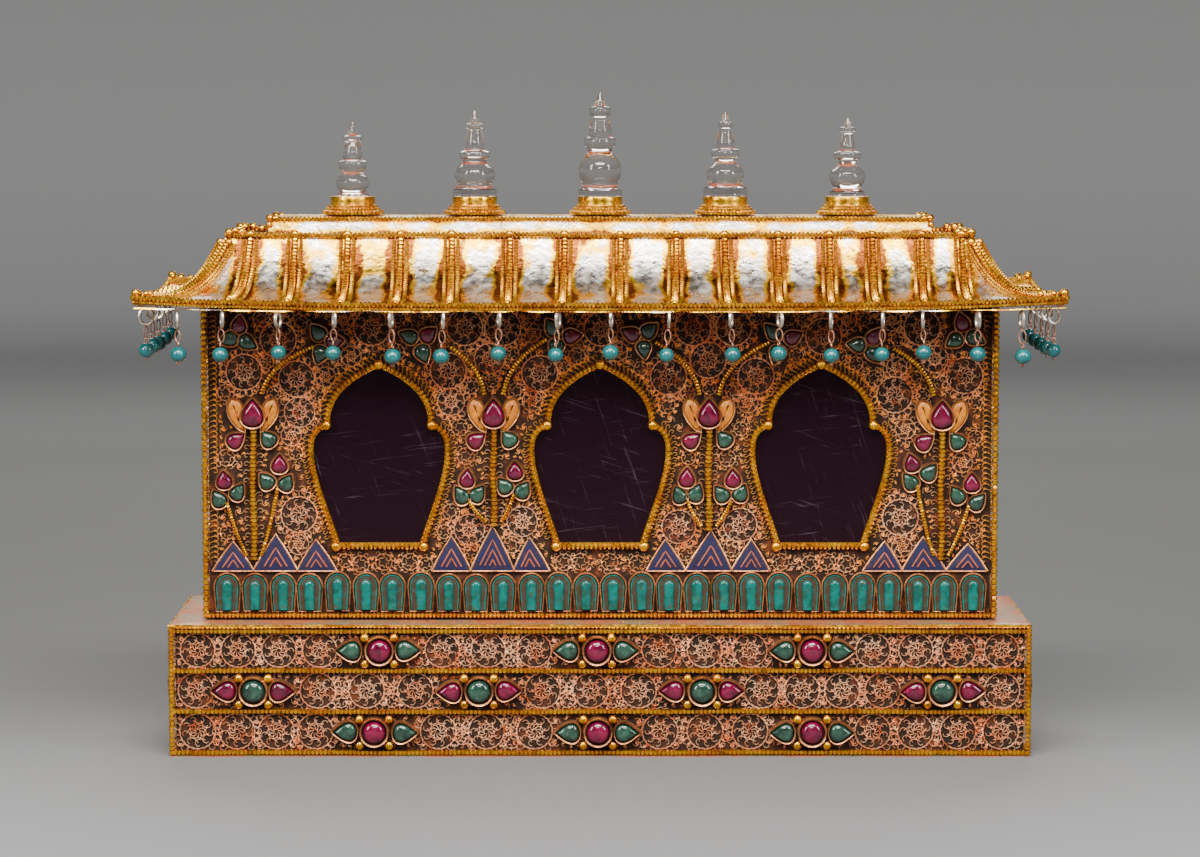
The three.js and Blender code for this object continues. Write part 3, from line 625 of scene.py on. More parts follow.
def window_outline(grow):
    foot, lobe, cusp = 14.8 + grow, 24 + grow, 17.9 + grow
    rise, cusp_rise, top = 34.5, 42.5 + grow * 0.4, 64.2 + grow * 1.2
    right = np.vstack([
        [[foot, -grow]],
        bezier([(foot, -grow), ((foot + lobe) / 2, rise * 0.42), (lobe, rise * 0.7), (lobe, rise)], 12),
        bezier([(lobe, rise), (lobe, lerp(rise, cusp_rise, 0.7)), ((cusp + lobe) / 2, cusp_rise),
                (cusp, cusp_rise)], 6),
        bezier([(cusp, cusp_rise), (cusp + 1, lerp(cusp_rise, top, 0.5)),
                (cusp * 0.55, top - (top - cusp_rise) * 0.2), (0, top)], 12)])
    left = right[-2::-1] * [-1, 1]
    return np.vstack([right, left]) + [0, SILL]


# Filigree: many curls at once, each a fine wire with a ridge

WIRE_WIDTH, WIRE_LIFT = 0.42, 0.15


def wires(shape, curves, wear=0.0):
    """Fine wires on a wall, open on the side that lies against it, from curves of equal numbers of points."""
    curves = np.asarray(curves, float)
    many, steps = curves.shape[:2]
    tangent = unit(np.gradient(curves, axis=1))
    across = np.stack([-tangent[..., 1], tangent[..., 0]], -1) * WIRE_WIDTH / 2
    low = np.full((many, steps, 1), WIRE_LIFT)
    rings = np.stack([np.concatenate(line, 2) for line in (
        [curves + across, low], [curves, low + WIRE_WIDTH], [curves - across, low])], 2)
    one = grid_faces(steps, 3)
    faces = (one[None] + (np.arange(many) * steps * 3)[:, None, None]).reshape(-1, 4)
    wear = np.repeat(np.broadcast_to(np.asarray(wear, float), many), steps * 3)
    shape.add(rings.reshape(-1, 3), [faces], wear)


def curls(starts, headings, lengths, turns, power, steps):
    """Wires that set out straight and curl up at the end, each turning by its own angle in all."""
    starts, headings = np.asarray(starts, float), np.asarray(headings, float)
    t = (np.arange(steps - 1) + 0.5) / (steps - 1)
    turns = np.broadcast_to(np.asarray(turns, float), headings.shape)
    angle = headings[:, None] + turns[:, None] * t ** power
    step = np.broadcast_to(np.asarray(lengths, float), headings.shape)[:, None] / (steps - 1)
    moves = np.stack([np.cos(angle), np.sin(angle)], -1) * step[..., None]
    return starts[:, None] + np.concatenate([np.zeros((len(starts), 1, 2)), np.cumsum(moves, 1)], 1)


def roundel(shape, centre, radius, spin, hand, wear, steps):
    """A pinwheel of curled wires inside a ring, with a row of small curls along the ring."""
    centre = np.array(centre, float)
    angles = np.linspace(0, 2 * np.pi, 6 + int(radius * 2.4)) + spin
    wires(shape, [centre + 0.97 * radius * np.stack([np.cos(angles), np.sin(angles)], 1)], wear=wear)
    count = max(4, round(2 * np.pi * radius * 0.95 / (1.85 if steps > 5 else 3.2)))
    phase = spin + np.arange(count) * 2 * np.pi / count
    start = centre + 0.95 * radius * np.stack([np.cos(phase), np.sin(phase)], 1)
    reach = 2.7 * min(1.3, radius / 4.4) * 1.75
    rim = curls(start, phase + np.pi - hand * 1.2, reach, -hand * 4.5, 1.5, steps)
    wires(shape, rim, wear)
    arms = int(np.clip(round(radius * 1.5), 3, 9))
    for share, length, lead, bend in ((0.62, 0.98, 0.55, -3.9), (0.10, 0.62, 0.5, 4.4)):
        phase = spin + share * 3 + np.arange(arms) * 2 * np.pi / arms
        start = centre + share * radius * np.stack([np.cos(phase), np.sin(phase)], 1)
        heading = phase + (np.pi - hand * lead if share > 0.5 else hand * lead)
        wires(shape, curls(start, heading, length * radius, hand * bend, 1.9, steps + 1), wear)
        if radius < 3.6 or steps < 6:
            break


def curl_row(shape, path, pitch, size, wear):
    """A row of curls beside a line, like a fishbone."""
    path = np.asarray(path, float)
    places = np.arange(pitch / 2, length_of(path), pitch)
    here, ahead = along(path, places), along(path, places + 0.2)
    direction = unit(ahead - here)
    direction[-1] = direction[-2]
    out = np.stack([direction[:, 1], -direction[:, 0]], 1)
    heading = np.arctan2(out[:, 1], out[:, 0])
    wires(shape, curls(here, heading + 0.9, size * 1.75, -4.9, 1.9, 8), wear=wear)


def distances(places, targets):
    """The distance from each place to the nearest of the targets, given as points with radii."""
    nearest = np.full(len(places), 1e9)
    for start in range(0, len(targets), 64):
        part = targets[start:start + 64]
        gap = np.linalg.norm(places[:, None] - part[None, :, :2], axis=2) - part[None, :, 2]
        nearest = np.minimum(nearest, gap.min(1))
    return nearest


def thick_line(path, radius, step, closed=False):
    places = along(path, np.arange(0, length_of(path, closed), step), closed)
    return np.column_stack([places, np.full(len(places), radius)])


def pack(area, targets, sizes, step, openings=()):
    """Circles of falling size that fill an area without touching the targets, each other or an opening."""
    (left, low), (right, high) = area
    u, v = np.meshgrid(np.arange(left, right, step), np.arange(low, high, step))
    places = np.column_stack([u.ravel(), v.ravel()]) + rng.uniform(-0.2, 0.2, (u.size, 2))
    for opening in openings:
        places = places[~in_polygon(places, opening)]
    edge = np.minimum.reduce([places[:, 0] - left, right - places[:, 0], places[:, 1] - low,
                              high - places[:, 1]])
    clear = np.minimum(edge, distances(places, targets))
    circles = []
    for size in sizes:
        while True:
            fit = np.flatnonzero(clear >= size)
            if not len(fit):
                break
            pick = fit[np.argmin(clear[fit] + rng.uniform(0, 0.5, len(fit)))]
            circles.append((*places[pick], size))
            clear = np.minimum(clear, np.linalg.norm(places - places[pick], axis=1) - size)
    return circles


def in_polygon(places, polygon):
    x, y = places[:, 0][:, None], places[:, 1][:, None]
    x0, y0 = polygon[:, 0][None], polygon[:, 1][None]
    x1, y1 = np.roll(polygon[:, 0], -1)[None], np.roll(polygon[:, 1], -1)[None]
    crosses = (y0 > y) != (y1 > y)
    where = x0 + (y - y0) * (x1 - x0) / np.where(y1 == y0, 1e-9, y1 - y0)
    return (np.sum(crosses & (x < where), 1) % 2) == 1


def fill_with_filigree(shape, circles, seed, steps, gold_near=None):
    spread = np.random.default_rng(seed)
    centres = np.array([c[:2] for c in circles])
    gold = np.zeros(len(circles))
    if gold_near is not None:
        gold = np.clip(0.8 - distances(centres, gold_near) / 6, 0, 0.7)
    for (x, y, size), wear in zip(circles, gold):
        spin, hand = spread.uniform(0, 2 * np.pi), spread.choice([-1, 1])
        size = size * 1.06
        if size >= 2.5:
            roundel(shape, (x, y), size, spin, hand, wear, steps)
        else:
            count = 3 if size > 1.6 else 2
            phase = spin + np.arange(count) * 2 * np.pi / count
            start = np.array([x, y]) + 0.9 * size * np.stack([np.cos(phase), np.sin(phase)], 1)
            wires(shape, curls(start, phase + hand * 2.2, size * 2.3, hand * 5.2, 1.7, steps - 1), wear=wear)


# Plinth

body = Shape()
stacked(body, [[(x * PLINTH_X, y * PLINTH_Y, z) for x, y in ((-1, -1), (1, -1), (1, 1), (-1, 1))]
               for z in (0.3, 47.0)], cap_foot=True)
piece("plinth_body", body, GROUND, ["plinth"], angle=30)

top = Shape()
edge = rectangle(154.4, 37.4, 47.6, 3.0, 0.25, 11)
slab = [edge * [1, 1, 0] + [0, 0, 47.0], edge, edge * [0.997, 0.986, 1] + [0, 0, 0.35],
        edge * [0.93, 0.8, 0] + [0, 0, 47.85], edge * [0.5, 0.3, 0] + [0, 0, 47.9]]
stacked(top, slab, cap_foot=True)
piece("plinth_top", top, COPPER)

sole = Shape()
edge = rectangle(154.5, 37.6, 0.2, 3.0)
stacked(sole, [edge * [1, 1, 0], edge, edge * [0.995, 0.98, 0] + [0, 0, 0.5]], cap_foot=True)
piece("plinth_sole", sole, COPPER)

rim = Shape()
path = rectangle(154.3, 37.3, 47.35, 2.0, 0.2, 5)
sweep(rim, path, 0.6 + 0.14 * lumps(path[:, 0], path[:, 1], 9, 8), 8, (0, 0, 1), closed=True)
piece("plinth_rim", rim, GILT_PLATE)

edging = Shape()
WIRE_LEVELS = [1.5, 16.4, 31.2, 45.6]
for index, up in enumerate(WIRE_LEVELS):
    beaded(edging, rectangle(153.8, 36.8, up, 2.0, 0.22, 20 + index), 1.5, 2.2, 5, (0, 0, 1), closed=True)
for sign_x, sign_y in CORNERS:
    x, y = sign_x * 153.85, sign_y * 36.85
    beaded(edging, [(x, y, 0.6), (x, y, 46.6)], 1.6, 2.25, 8)
piece("plinth_wires", edging, GILT, ["plinth_edging"])


def gem_cluster(round_stones, drops, metal, beads, centre):
    """A round cabochon between two drops, in bezels, with four small balls."""
    x, z = centre
    spots = [(disc(4.15, 24), (x, z), round_stones, 1.6, 3.3, 0.55, 0.75, 4.1)]
    for side in (-1, 1):
        outline = pear(8.4, 6.7, 24) * [side, 1]
        outline = outline if side > 0 else outline[::-1]
        place = x + side * (10.6 + rng.uniform(-0.3, 0.5)), z + rng.uniform(-0.3, 0.3)
        spots.append((outline, place, drops, 1.1, 2.5, 0.3, 0.55, 3.2))
    for outline, place, stones, base, rise, gap, wall, height in spots:
        stone(stones, outline, place, base, rise)
        bezel(metal, outline, place, gap, wall, height)
    for across in (-1, 1):
        for up in (-1, 1):
            wall_ball(beads, (x + across * 5.25, z + up * 4.7), 1.7, 1.9, 12)


# Each band: the level of its clusters, their places across and whether their round stones are ruby
CLUSTER_ROWS = {"bottom": (8.9, (-81.1, -0.7, 76.2), True),
                "middle": (23.8, (-124.4, -43.4, 36.7, 122.9), False),
                "top": (38.5, (-79.1, -1.1, 76.1), True)}
gem_spots = {side: [] for side in SIDES}


def make_cluster_group(name, side, places, nodes):
    rubies, jades, metal, beads = Shape(), Shape(), Shape(), Shape()
    for x, z, ruby_middle in places:
        round_stones, drops = (rubies, jades) if ruby_middle else (jades, rubies)
        gem_cluster(round_stones, drops, metal, beads, (x, z))
        gem_spots[side].append((x, z))
    dress(plinth_wall(side), f"plinth_gems_{name}", [
        ("rubies", rubies, RUBY, "ruby", *nodes), ("jades", jades, JADE, "jade"),
        ("bezels", metal, BEZEL, "gilt"), ("beads", beads, GILT, "gilt")], 50)


for name, (up, places, ruby_middle) in CLUSTER_ROWS.items():
    make_cluster_group(name, "front", [(x, up, ruby_middle) for x in places],
                       [f"plinth_gems_{name}_{k + 1}" for k in range(len(places))])
for side in ("left", "right"):
    spots = [(0, 8.9, True), (-17.5, 23.8, False), (17.5, 23.8, False), (0, 38.5, True)]
    make_cluster_group(side, side, spots, [f"plinth_gems_{side}_{k + 1}" for k in range(4)])

for side, reach in zip(SIDES, (PLINTH_X, PLINTH_X, PLINTH_Y, PLINTH_Y)):
    lace = Shape()
    for band in range(3):
        low, high = WIRE_LEVELS[band] + 1.1, WIRE_LEVELS[band + 1] - 1.1
        middle, size = (low + high) / 2, (high - low) / 2
        taken = sorted(x for x, z in gem_spots[side] if abs(z - middle) < 5)
        spans, left = [], -reach + 0.6
        for x in taken:
            spans.append((left, x - 14.2))
            left = x + 14.2
        spans.append((left, reach - 0.6))
        circles = []
        for start, end in spans:
            count = int((end - start + 1.0) // (2 * size + 1.0))
            spare = (end - start) - count * 2 * size
            for k in range(count):
                x = start + spare * (k + 0.5) / count + (2 * k + 1) * size
                circles.append((x, middle, size))
        targets = np.array(circles + [(x, z, 5.6) for x, z in gem_spots[side]]
                           + [(x + d, z, 3.6) for x, z in gem_spots[side] for d in (-10.4, 10.4)])
        fillers = (3.2, 2.5) if side == "back" else (3.2, 2.5, 1.9, 1.3, 0.95)
        circles += pack(((-reach, low), (reach, high)), targets, fillers, 0.5)
        fill_with_filigree(lace, circles, 31 + band, 5 if side == "back" else 7)
    made = Shape()
    made.take(lace, lambda points: plinth_wall(side)(np.clip(points, (-reach, 0.7, 0), (reach, 46.5, 9))))
    piece(f"plinth_filigree_{side}", made, FILIGREE, angle=80)

# Cabinet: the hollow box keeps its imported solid

def coat(node, surface):
    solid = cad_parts[node]
    solid.data.materials.clear()
    solid.data.materials.append(surface)


coat("cabinet", GROUND)
for name in WINDOWS:
    coat(f"window_pane_{name}", PANE)

edging = Shape()
beaded(edging, rectangle(142.35, 24.85, 49.5, 2.0), 1.45, 2.2, 6, (0, 0, 1), closed=True)
for sign_x, sign_y in CORNERS:
    x, y = sign_x * 142.35, sign_y * 24.85
    beaded(edging, [(x, y, 48.6), (x, y, 161.3)], 2.0, 2.3, 9)
piece("cabinet_wires", edging, GILT, ["cabinet_edging"])

for name, x in WINDOWS.items():
    frame_wire, balls, band = Shape(), Shape(), Shape()
    outline = window_outline(0.75) + [x, 0]
    beaded(frame_wire, flat_path(outline, 1.3), 1.62, 2.45, 8, (0, 0, 1), closed=True)
    rings = [flat_path(window_outline(grow) + [x, 0], out) for grow, out in
             ((0.5, -0.3), (0.5, 1.5), (-0.15, 1.6), (-0.35, 1.3), (-0.35, -0.45))]
    # The band's edges against the wall get high values, which the gilt darkens as painted shade.
    stacked(band, rings, [0.8, 0.2, 0.1, 0.3, 0.9], cap_top=False)
    for across, up in ((0, 64.9), (-18.9, 43.0), (18.9, 43.0), (-15.9, -0.9), (15.9, -0.9)):
        wall_ball(balls, (x + across, SILL + up), 1.85, 1.5, 14)
    dress(cabinet_wall("front"), f"window_frame_{name}", [
        ("wire", frame_wire, GILT, "gilt", f"window_frame_{name}"), ("balls", balls, GILT, "gilt"),
        ("band", band, GILT_PLATE, "gilt")])


# Petals round the foot of the cabinet

def arch(width, height, sides=18):
    """An upright arch outline standing on the origin."""
    angles = np.linspace(0, np.pi, sides)
    curve = np.stack([width / 2 * np.cos(angles), height - width * 0.56 + width * 0.56 * np.sin(angles)], 1)
    return np.vstack([[[-width * 0.43, 0], [width * 0.43, 0]], curve])


def petal(stones, metal, x, foot):
    """An upright petal stone with a grooved border and a raised middle, in a thin bezel."""
    width, height = 8.5 + rng.uniform(-0.25, 0.25), 13.2 + rng.uniform(-0.4, 0.3)
    outline = arch(width, height)
    # The third number of each row is high in the two grooves, which the stone darkens with painted shade and
    # brown pigment.
    profile = [(0, 0.2, 0), (0, 0.9, 0.4), (0.25, 1.25, 0.1), (0.7, 1.3, 0.1), (0.8, 1.0, 1), (1.3, 0.95, 1),
               (1.4, 1.15, 0.6), (1.6, 1.15, 0.6), (1.7, 0.95, 1), (2.15, 0.95, 1), (2.25, 1.5, 0.3),
               (2.5, 2.05, 0), (2.9, 2.4, 0), (3.5, 2.6, 0)]
    bulge = 1 + 0.12 * np.clip(1 - outline[:, 1] / 4, 0, 1)
    rings = [flat_path(arch(width - 2 * inset, height - inset) + [x, foot + inset * 0.12], out * bulge)
             for inset, out, _ in profile]
    stacked(stones, rings, [w for *_, w in profile], cap_foot=True)
    wall = [(0.85, 0.0), (0.75, 1.5), (0.5, 1.75), (0.25, 1.6), (0.1, 0.3)]
    outline = arch(width, height, 14)
    stacked(metal, [flat_path(grown(outline, grow) + [x, foot], out) for grow, out in wall],
            # The bezel's foot and its inner edge against the stone get high values, darkened as painted
            # shade.
            [0.9, 0.1, 0.0, 0.2, 1.0], cap_top=False)


PETAL_PITCH = 9.97
for side, count in (("front", 28), ("back", 28), ("left", 4), ("right", 4)):
    stones, metal = Shape(), Shape()
    for k in range(count):
        petal(stones, metal, (k - (count - 1) / 2) * PETAL_PITCH + rng.uniform(-0.25, 0.25),
              51.3 + rng.uniform(-0.15, 0.15))
    dress(cabinet_wall(side), f"petals_{side}", [
        ("stones", stones, PETAL, "green_stone", f"petal_row_{side}"), ("bezels", metal, BEZEL, "gilt")], 35)


# Mountains: creased triangles with inlaid lines and wire edges

def mountain(stones, lines, metal, left, right, apex, foot):
    left, right, apex = np.array([left, foot]), np.array([right, foot]), np.array(apex, float)
    middle = (left + right) / 2
    outline = np.array([left, middle, right, (right * 2 + apex) / 3 + [0.25, 0.1],
                        (right + apex * 2) / 3 + [0.2, 0.1], apex, (left + apex * 2) / 3 + [-0.2, 0.1],
                        (left * 2 + apex) / 3 + [-0.25, 0.1]])
    centre = (left + right + apex) / 3
    inner = (outline - centre) * 0.93 + centre
    rings = [flat_path(outline, 0.2), flat_path(outline, 1.0), flat_path(inner, 1.3)]
    # The sides of each triangle, down to the wall, get high values, darkened as painted shade.
    stacked(stones, rings, [0.6, 0.5, 0.0], cap_foot=True, cap_top=False)
    crest = centre * [1, 0] + [0, lerp(foot, apex[1], 0.42)]
    points = np.vstack([flat_path(inner, 1.3), [[*crest, 2.1]]])
    stones.add(points, [fan(np.arange(8), 8)])
    for share in (0.36, 0.62) if apex[1] - foot < 15 else (0.3, 0.52, 0.74):
        drop = np.array([0, -(apex[1] - foot) * share])
        tip = np.array([apex[0], apex[1]]) + drop
        reach = 0.86 - share * 0.98
        run = [tip + (left - apex) * reach, tip, tip + (right - apex) * reach]
        path = flat_path(run, 1.35 + 0.3 * np.array([0.1, 1.2, 0.1]))
        path = np.array([p * [1, 1, 0] + [0, 0, height_on(p[:2], inner, crest) + 0.02] for p in
                         along(path, np.linspace(0, length_of(path), 13))])
        sweep(lines, path, 0.3, 6, (0, 0, 1), wear=rng.uniform(0, 0.5))
    sweep(metal, flat_path(np.vstack([outline[[0]], outline[[7, 6, 5, 4, 3, 2]]]), 1.1), 0.42, 6, (0, 0, 1))
    sweep(metal, flat_path([left, right], 0.9), 0.35, 6, (0, 0, 1))


def height_on(spot, inner, crest):
    """The distance out of a creased triangle's face at a spot."""
    away = np.linalg.norm(spot - crest)
    towards = unit(spot - crest) if away > 1e-6 else np.array([1.0, 0.0])
    edge = 1e9
    for a, b in zip(inner, np.roll(inner, -1, 0)):
        side = b - a
        cross = towards[0] * side[1] - towards[1] * side[0]
        if abs(cross) > 1e-9:
            gap = a - crest
            t = (gap[0] * side[1] - gap[1] * side[0]) / cross
            s = (gap[0] * towards[1] - gap[1] * towards[0]) / cross
            if t > 0 and -1e-6 <= s <= 1 + 1e-6:
                edge = min(edge, t)
    return 2.1 - 0.8 * min(1.0, away / edge)


MOUNTAIN_FOOT = 65.6
# Each group: its wall, the feet of its triangles and their tips
MOUNTAINS = {
    "front_1": ("front", [-140.0, -124.8, -109.6, -94.8], [(-132.4, 76.3), (-117, 79.0), (-102.5, 77.1)]),
    "front_2": ("front", [-60.8, -46.4, -31.4, -18.0], [(-53.6, 78.3), (-38.7, 82.0), (-25.5, 77.9)]),
    "front_3": ("front", [16.6, 31.2, 47.2, 61.4], [(23.6, 77.1), (40.1, 80.4), (54.6, 77.1)]),
    "front_4": ("front", [94.8, 109.4, 124.6, 140.0], [(102.7, 76.4), (116.6, 78.1), (132.8, 75.5)]),
    "left": ("left", [-22.4, -7.4, 7.4, 22.4], [(-14.9, 76.8), (0, 79.6), (14.9, 76.8)]),
    "right": ("right", [-22.4, -7.4, 7.4, 22.4], [(-14.9, 76.8), (0, 79.6), (14.9, 76.8)])}
for name, (side, feet, tips) in MOUNTAINS.items():
    stones, lines, metal = Shape(), Shape(), Shape()
    for k, tip in enumerate(tips):
        lap = 0.5 if k == 1 else -0.1
        mountain(stones, lines, metal, feet[k] - lap, feet[k + 1] + lap, tip, MOUNTAIN_FOOT)
    dress(cabinet_wall(side), f"mountains_{name}", [
        ("stones", stones, LAPIS, "lapis", f"mountains_{name}"), ("lines", lines, INLAY, "copper"),
        ("edges", metal, BEZEL, "gilt")], 20)


# Lotus trees: stem, twigs and arcs of beaded wire, with set stones

def leaf(side):
    """A petal outline that leaves the foot of the flower and opens to one side, rounded at its tip."""
    t = np.linspace(0, 1, 13)
    spine = np.stack([2.6 + 5.0 * t ** 0.6 - 0.9 * t ** 3, -6.2 + 11.6 * t], 1)
    half = 2.75 * np.sin(np.pi * np.clip(0.04 + 0.93 * t, 0, 1) ** 1.45) ** 0.62
    normal = unit(np.gradient(spine, axis=0))[:, ::-1] * [1, -1]
    outline = np.vstack([spine + normal * half[:, None], (spine - normal * half[:, None])[::-1][1:-1]])
    return outline if side > 0 else (outline * [-1, 1])[::-1]


def set_drop(stones, metal, centre, aim, length, width, rise=1.9):
    """A drop stone in its bezel, its tip turned to an angle in degrees."""
    outline = turn(pear(length, width, 20, 1.15), math.radians(aim))
    stone(stones, outline, centre, 0.7, rise)
    bezel(metal, outline, centre, 0.35, 0.5, 1.95)


def trefoil(kinds, metal, spots, meet):
    """Three drops with their tips away from a meeting point: the first ruby, the others green."""
    rubies, jades = kinds
    for index, (x, z) in enumerate(spots):
        aim = math.degrees(math.atan2(z - meet[1], x - meet[0])) + rng.uniform(-9, 9)
        set_drop(rubies if index == 0 else jades, metal, (x, z), aim, 6.5 + rng.uniform(-0.3, 0.5),
                 5.0 + rng.uniform(-0.2, 0.4))


def flower(kinds, yellow, metal, x, z):
    """A ruby bud between two yellow petals, with a ruby and a green drop below."""
    rubies, jades = kinds
    for side in (-1, 1):
        outline = leaf(side)
        rings = [flat_path(grown(outline, grow) + [x, z], out) for grow, out in
                 ((0, 0.2), (0, 1.1), (-0.3, 1.5), (-1.2, 1.85), (-2.0, 1.95))]
        stacked(yellow, rings, cap_foot=True)
        wall = ((0.75, 0.0), (0.7, 1.3), (0.45, 1.75), (0.1, 1.6), (0, 0.3))
        # The foot of each petal's bezel and its inner edge get high values, darkened as painted shade.
        stacked(metal, [flat_path(grown(outline, grow) + [x, z], out) for grow, out in wall],
                [0.7, 0.2, 0.0, 0.3, 1.0], cap_top=False)
    outline = turn(pear(9.9, 7.7, 26, 1.1), math.pi / 2)
    stone(rubies, outline, (x, z + 0.4), 1.6, 2.6)
    bezel(metal, outline, (x, z + 0.4), 0.35, 0.65, 3.4)
    set_drop(rubies, metal, (x - 6.0, z - 9.4), 38, 6.8, 5.4)
    set_drop(jades, metal, (x + 5.4, z - 9.0), 128, 6.3, 5.6)


def upright(place, path, width, pitch):
    beaded(place, flat_path(path, 1.45), pitch, width, 8, (0, 0, 1))


# Each tree: its flower, the foot of its stem, its side sprays, the ends of its arcs and its crowns
TREES = {
    "front_1": (
        (-124.9, 122.6), 69.5,
        [[(-115.4, 104.5), (-120.3, 98.4), (-112.9, 97.7)],
         [(-135.4, 98.7), (-137.6, 91.9), (-130.4, 94.4)]],
        [(-121.6, 129.6), (-102.7, 147.1)],
        [[(-129.5, 155), (-133.5, 149.5), (-126.3, 148.2)],
         [(-95.1, 148.9), (-101.4, 152.2), (-100.5, 143.9)]]),
    "front_2": (
        (-38.3, 122.6), 81.8,
        [[(-47.9, 99.3), (-50.1, 93.3), (-44, 93.7)], [(-30.6, 102), (-34.6, 96.6), (-27.7, 95.1)]],
        [(-41.5, 129.4), (-53.8, 146.8), (-34.9, 129.4), (-19, 149.6)],
        [[(-61.4, 151.4), (-68.9, 150.7), (-63.5, 144.2)], [(-9.7, 150.7), (-17.2, 154), (-15.8, 146.4)]]),
    "front_3": (
        (39.2, 122.6), 80.2,
        [[(31.3, 99.6), (28.5, 93.3), (34.6, 94)], [(47.9, 99.3), (43.6, 93.7), (50.8, 94)]],
        [(35.9, 129.4), (19.7, 148.6), (42.6, 129.2), (61, 148.6)],
        [[(10.8, 151.6), (17.9, 152.9), (15.8, 145.7)], [(69.6, 150.4), (61.7, 152.5), (63.5, 143.9)]]),
    "front_4": (
        (123, 121.9), 69.5,
        [[(112.3, 104.9), (118.8, 101.6), (111.6, 98.2)], [(134, 97.7), (128.6, 93.3), (136.2, 90.8)]],
        [(120.0, 129.0), (105.2, 146.4)],
        [[(98.7, 150.7), (91.9, 147.5), (98.4, 143.9)], [(129.8, 155.9), (127, 148.9), (134.9, 149.8)]]),
    "left": (
        (0, 122.6), 80.0,
        [[(-11.4, 100.6), (-14.6, 94.6), (-8.0, 95.2)], [(11.4, 100.6), (8.0, 95.2), (14.6, 94.6)]],
        [(-3.2, 129.4), (-14.4, 145.2), (3.2, 129.4), (14.4, 145.2)],
        [[(-15.6, 152.8), (-18.6, 147.2), (-12.2, 147.2)], [(15.6, 152.8), (12.2, 147.2), (18.6, 147.2)]])}
TREES["right"] = TREES["left"]
wall_taken = {side: [] for side in SIDES}
gold_lines = {side: [] for side in SIDES}
for name, (spot, foot, sprays, arcs, crowns) in TREES.items():
    side = name.split("_")[0]
    rubies, jades, yellow, metal, stems = Shape(), Shape(), Shape(), Shape(), Shape()
    flower((rubies, jades), yellow, metal, *spot)
    stem = [(spot[0] + 0.3 * math.sin(k * 1.7), z) for k, z in enumerate(np.linspace(foot, spot[1] - 5.6, 6))]
    upright(stems, stem, 2.6, 1.55)
    lines = [(stem, 1.5)]
    for group in sprays:
        meet = np.mean(group, 0) + [0, -2.2]
        trefoil((rubies, jades), metal, group, meet + [0, -5.5])
        hand = np.sign(meet[0] - spot[0])
        twig = bent((spot[0] + hand * 2.6, foot + 1.6), meet + [0, -2.2], 0.4, 0.55, 12)
        upright(stems, twig, 1.6, 1.05)
        lines.append((twig, 0.9))
    for k in range(0, len(arcs), 2):
        start, end = np.array(arcs[k]), np.array(arcs[k + 1])
        arc = bent(start, end, 0.62, 0.12, 14)
        upright(stems, arc, 1.8, 1.15)
        lines.append((arc, 1.1))
    for group in crowns:
        trefoil((rubies, jades), metal, group, np.mean(group, 0))
    taken = [np.array([[x, z, 4.3] for group in sprays + crowns for x, z in group]),
             np.array([[spot[0] + across, spot[1] + up, radius] for across, up, radius in
                       ((0, 0, 6.0), (-6.6, 0.3, 4.6), (6.6, 0.3, 4.6), (-6.0, -9.4, 4.2), (5.4, -9, 4.2))])]
    taken += [thick_line(line, radius, 0.8) for line, radius in lines]
    wall_taken[side] += taken
    gold_lines[side] += [thick_line(stem, 1.5, 1.0)]
    dress(cabinet_wall(side), f"lotus_tree_{name}", [
        ("rubies", rubies, RUBY, "ruby", f"lotus_tree_{name}"), ("jades", jades, JADE, "jade"),
        ("petals", yellow, YELLOW, "yellow_stone"), ("bezels", metal, BEZEL, "gilt"),
        ("stems", stems, GILT, "gilt")], 50)

# Filigree of the cabinet's walls

PETAL_TOP = 65.2
for side, feet, tips in MOUNTAINS.values():
    for k, tip in enumerate(tips):
        triangle = np.array([(feet[k], MOUNTAIN_FOOT), (feet[k + 1], MOUNTAIN_FOOT), tip])
        wall_taken[side] += [thick_line(triangle, 0.5, 0.8, closed=True)]
        middle = triangle.mean(0)
        wall_taken[side] += [np.array([[*(middle + [0, d]), r] for d, r in ((-0.5, 3.6), (3, 2.2))])]

